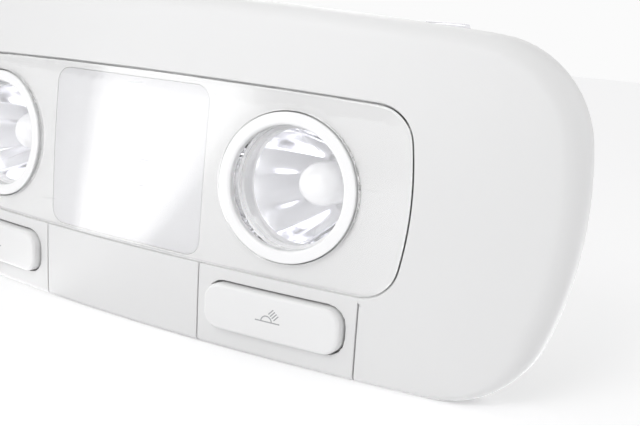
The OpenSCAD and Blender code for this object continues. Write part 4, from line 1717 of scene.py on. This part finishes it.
@dataclass(frozen=True)
class Camera:
    """The camera, at the photograph's place and angle."""

    place: Point = (0.151067, -0.183180, 0.072356)
    azimuth: float = 29.95707
    elevation: float = 10.49886
    roll: float = 5.74363
    focal_px: float = 888.056
    image_w: float = 640.0
    sensor: float = 36.0
    clip: Flat = (0.01, 20.0)

    def build(self) -> None:
        """Makes the camera and sets it as the scene's own."""
        a, e, r = (math.radians(v) for v in (self.azimuth, self.elevation, self.roll))
        back = Vector((math.sin(a) * math.cos(e), -math.cos(a) * math.cos(e), math.sin(e)))
        right = Vector((math.cos(a), math.sin(a), 0.0))
        up = back.cross(right)
        side = right * math.cos(r) + up * math.sin(r)
        head = up * math.cos(r) - right * math.sin(r)
        data = bpy.data.cameras.new("photo_camera")
        data.sensor_width = self.sensor
        data.lens = self.focal_px / self.image_w * self.sensor
        data.clip_start, data.clip_end = self.clip
        camera = add_object("photo_camera", data)
        turn = Matrix((side, head, back)).transposed().to_4x4()
        camera.matrix_world = Matrix.Translation(self.place) @ turn
        bpy.context.scene.camera = camera


@dataclass(frozen=True)
class Studio:
    """A pale floor with a painted reflection glow, a white room and soft lamps."""

    floor_half: float = 30.0
    floor_colour: Colour = (0.94, 0.94, 0.945)
    bounce_colour: Colour = (0.85, 0.85, 0.86)
    floor_roughness: float = 0.9
    floor_glow: float = 0.2
    room_light: float = 0.657
    room_slope: float = -0.49
    room_shown: float = 0.965
    # The mirrored levels set the room's brightness in reflections and the floor's painted reflection glow
    mirrored_left: float = 3.4
    mirrored_middle: float = 0.9
    mirrored_right: float = 1.3
    left_from: Flat = (-1.12, -0.98)
    left_until: Flat = (-0.56, -0.42)
    right_from: Flat = (0.6, 1.4)
    least_depth: float = 0.05
    lamps: tuple[SoftLamp | SoftBox, ...] = (
        SoftBox("key", place=(0.05, -0.3, 0.2), aim=(0.02, -0.011, 0.041), size=0.16, watts=0.37),
        SoftLamp("rim", towards=(1.0, 0.7, 0.35), level=0.32, spread=70.0),
    )

    def build(self) -> None:
        """Builds the floor, the room and the lamps."""
        reach = self.floor_half
        mesh = bpy.data.meshes.new("floor")
        corners = [(-reach, -reach, 0.0), (reach, -reach, 0.0), (reach, reach, 0.0), (-reach, reach, 0.0)]
        mesh.from_pydata(corners, [], [(0, 1, 2, 3)])
        mesh.materials.append(self._floor_material())
        floor = add_object("floor", mesh)
        self._room()
        for lamp in self.lamps:
            lamp.build()

    def _floor_material(self) -> bpy.types.Material:
        """Gives the floor's pale matt finish, with an even glow for the camera and a painted reflection glow,
        bright front left, for mirrors and glass.

        Returns:
            The floor's material.
        """
        material = bpy.data.materials.new("pale_floor")
        tree = Tree.cleared(material)
        seen = self._seen(tree)
        # Painted reflection: mirrors and glass see the floor glow, brightest front left, though the floor is
        # no lamp
        mirrored = self._mirrored(tree, tree.add("ShaderNodeNewGeometry").outputs["Position"])
        camera = tree.add("ShaderNodeLightPath").outputs["Is Camera Ray"]
        even_glow_and_painted_reflection = tree.mix(camera, mirrored, self.floor_glow)
        inputs = {
            "Base Color": tree.mix_colours(seen, (*self.bounce_colour, 1.0), (*self.floor_colour, 1.0)),
            "Roughness": self.floor_roughness,
            "Specular IOR Level": 0.0,
            "Emission Color": WHITE,
            "Emission Strength": tree.math("MULTIPLY", seen, even_glow_and_painted_reflection),
        }
        shader = tree.add("ShaderNodeBsdfPrincipled", inputs)
        tree.add("ShaderNodeOutputMaterial", {"Surface": shader.outputs[0]})
        return material

    @staticmethod
    def _seen(tree: Tree) -> bpy.types.NodeSocket:
        """Finds the rays that show the background: seen, mirrored or through glass.

        Args:
            tree: The node tree to add to.

        Returns:
            1 for such a ray, 0 for others.
        """
        path = tree.add("ShaderNodeLightPath")
        seen = tree.math("MAXIMUM", path.outputs["Is Camera Ray"], path.outputs["Is Glossy Ray"])
        return tree.math("MAXIMUM", seen, path.outputs["Is Transmission Ray"])

    def _mirrored(self, tree: Tree, place: bpy.types.NodeSocket) -> bpy.types.NodeSocket:
        """Gives what mirrors and glass show there: a bright zone front left, a soft one right. On the floor
        this is a painted reflection glow.

        Args:
            tree: The node tree to add to.
            place: A place on the floor, or a direction in the room.

        Returns:
            The brightness at that place.
        """
        split = tree.add("ShaderNodeSeparateXYZ", {"Vector": place})
        depth = tree.math("MAXIMUM", tree.math("ABSOLUTE", split.outputs["Y"]), self.least_depth)
        slant = tree.math("DIVIDE", split.outputs["X"], depth)
        rise, until, right = (
            tree.span(slant, *ends, "SMOOTHSTEP")
            for ends in (self.left_from, self.left_until, self.right_from)
        )
        zone = tree.math("MULTIPLY", rise, tree.math("SUBTRACT", 1.0, until))
        left = tree.math("MULTIPLY", zone, self.mirrored_left - self.mirrored_middle)
        both = tree.math("ADD", left, tree.math("MULTIPLY", right, self.mirrored_right))
        return tree.math("ADD", both, self.mirrored_middle)

    def _room(self) -> None:
        """Lights the room softly, brighter on the left, and shows it white."""
        world = bpy.data.worlds.new("white_room")
        bpy.context.scene.world = world
        tree = Tree.cleared(world)
        place = tree.add("ShaderNodeTexCoord").outputs["Generated"]
        across = tree.add("ShaderNodeSeparateXYZ", {"Vector": place}).outputs["X"]
        soft = tree.math("MULTIPLY_ADD", across, self.room_slope, self.room_light)
        level = tree.mix(self._seen(tree), soft, self._mirrored(tree, place))
        camera = tree.add("ShaderNodeLightPath").outputs["Is Camera Ray"]
        shown = tree.mix(camera, level, self.room_shown)
        back = tree.add("ShaderNodeBackground", {"Color": WHITE, "Strength": shown})
        tree.add("ShaderNodeOutputWorld", {"Surface": back.outputs[0]})


def clear_startup() -> None:
    """Removes the objects that Blender starts with."""
    for name in ("Cube", "Light", "Camera"):
        found = bpy.data.objects.get(name)
        if found is not None:
            bpy.data.objects.remove(found)


def main() -> None:
    """Builds the camera, the light's sub-assemblies and the studio."""
    logging.basicConfig(level=logging.INFO, format="%(name)s %(message)s")
    clear_startup()
    Camera().build()
    datum = Datum.from_frame(Surround.rim_y)
    body = ArcOutline(
        half_w=109.3, top=41.0, bottom=-41.0, top_r=1180.0, end_r=90.0, end_z=3.0, upper_r=24.4, lower_r=22.0
    )
    panel = ArcOutline(
        half_w=75.5, top=22.0, bottom=-21.0, top_r=1850.0, end_r=75.0, end_z=0.0, upper_r=8.5, lower_r=8.5
    )
    Surround(datum, body, panel).build()
    LensPanel(datum, panel).build()
    button = Button()
    LowerStrip(datum, button).build()
    for side in Side:
        ReadingLight(datum, side).build()
        PushButton(datum, side, button).build()
    CentreLight(datum).build()
    CarriedOver().dress()
    Studio().build()
    bpy.context.scene.view_settings.view_transform = "Standard"


if __name__ == "__main__":
    main()
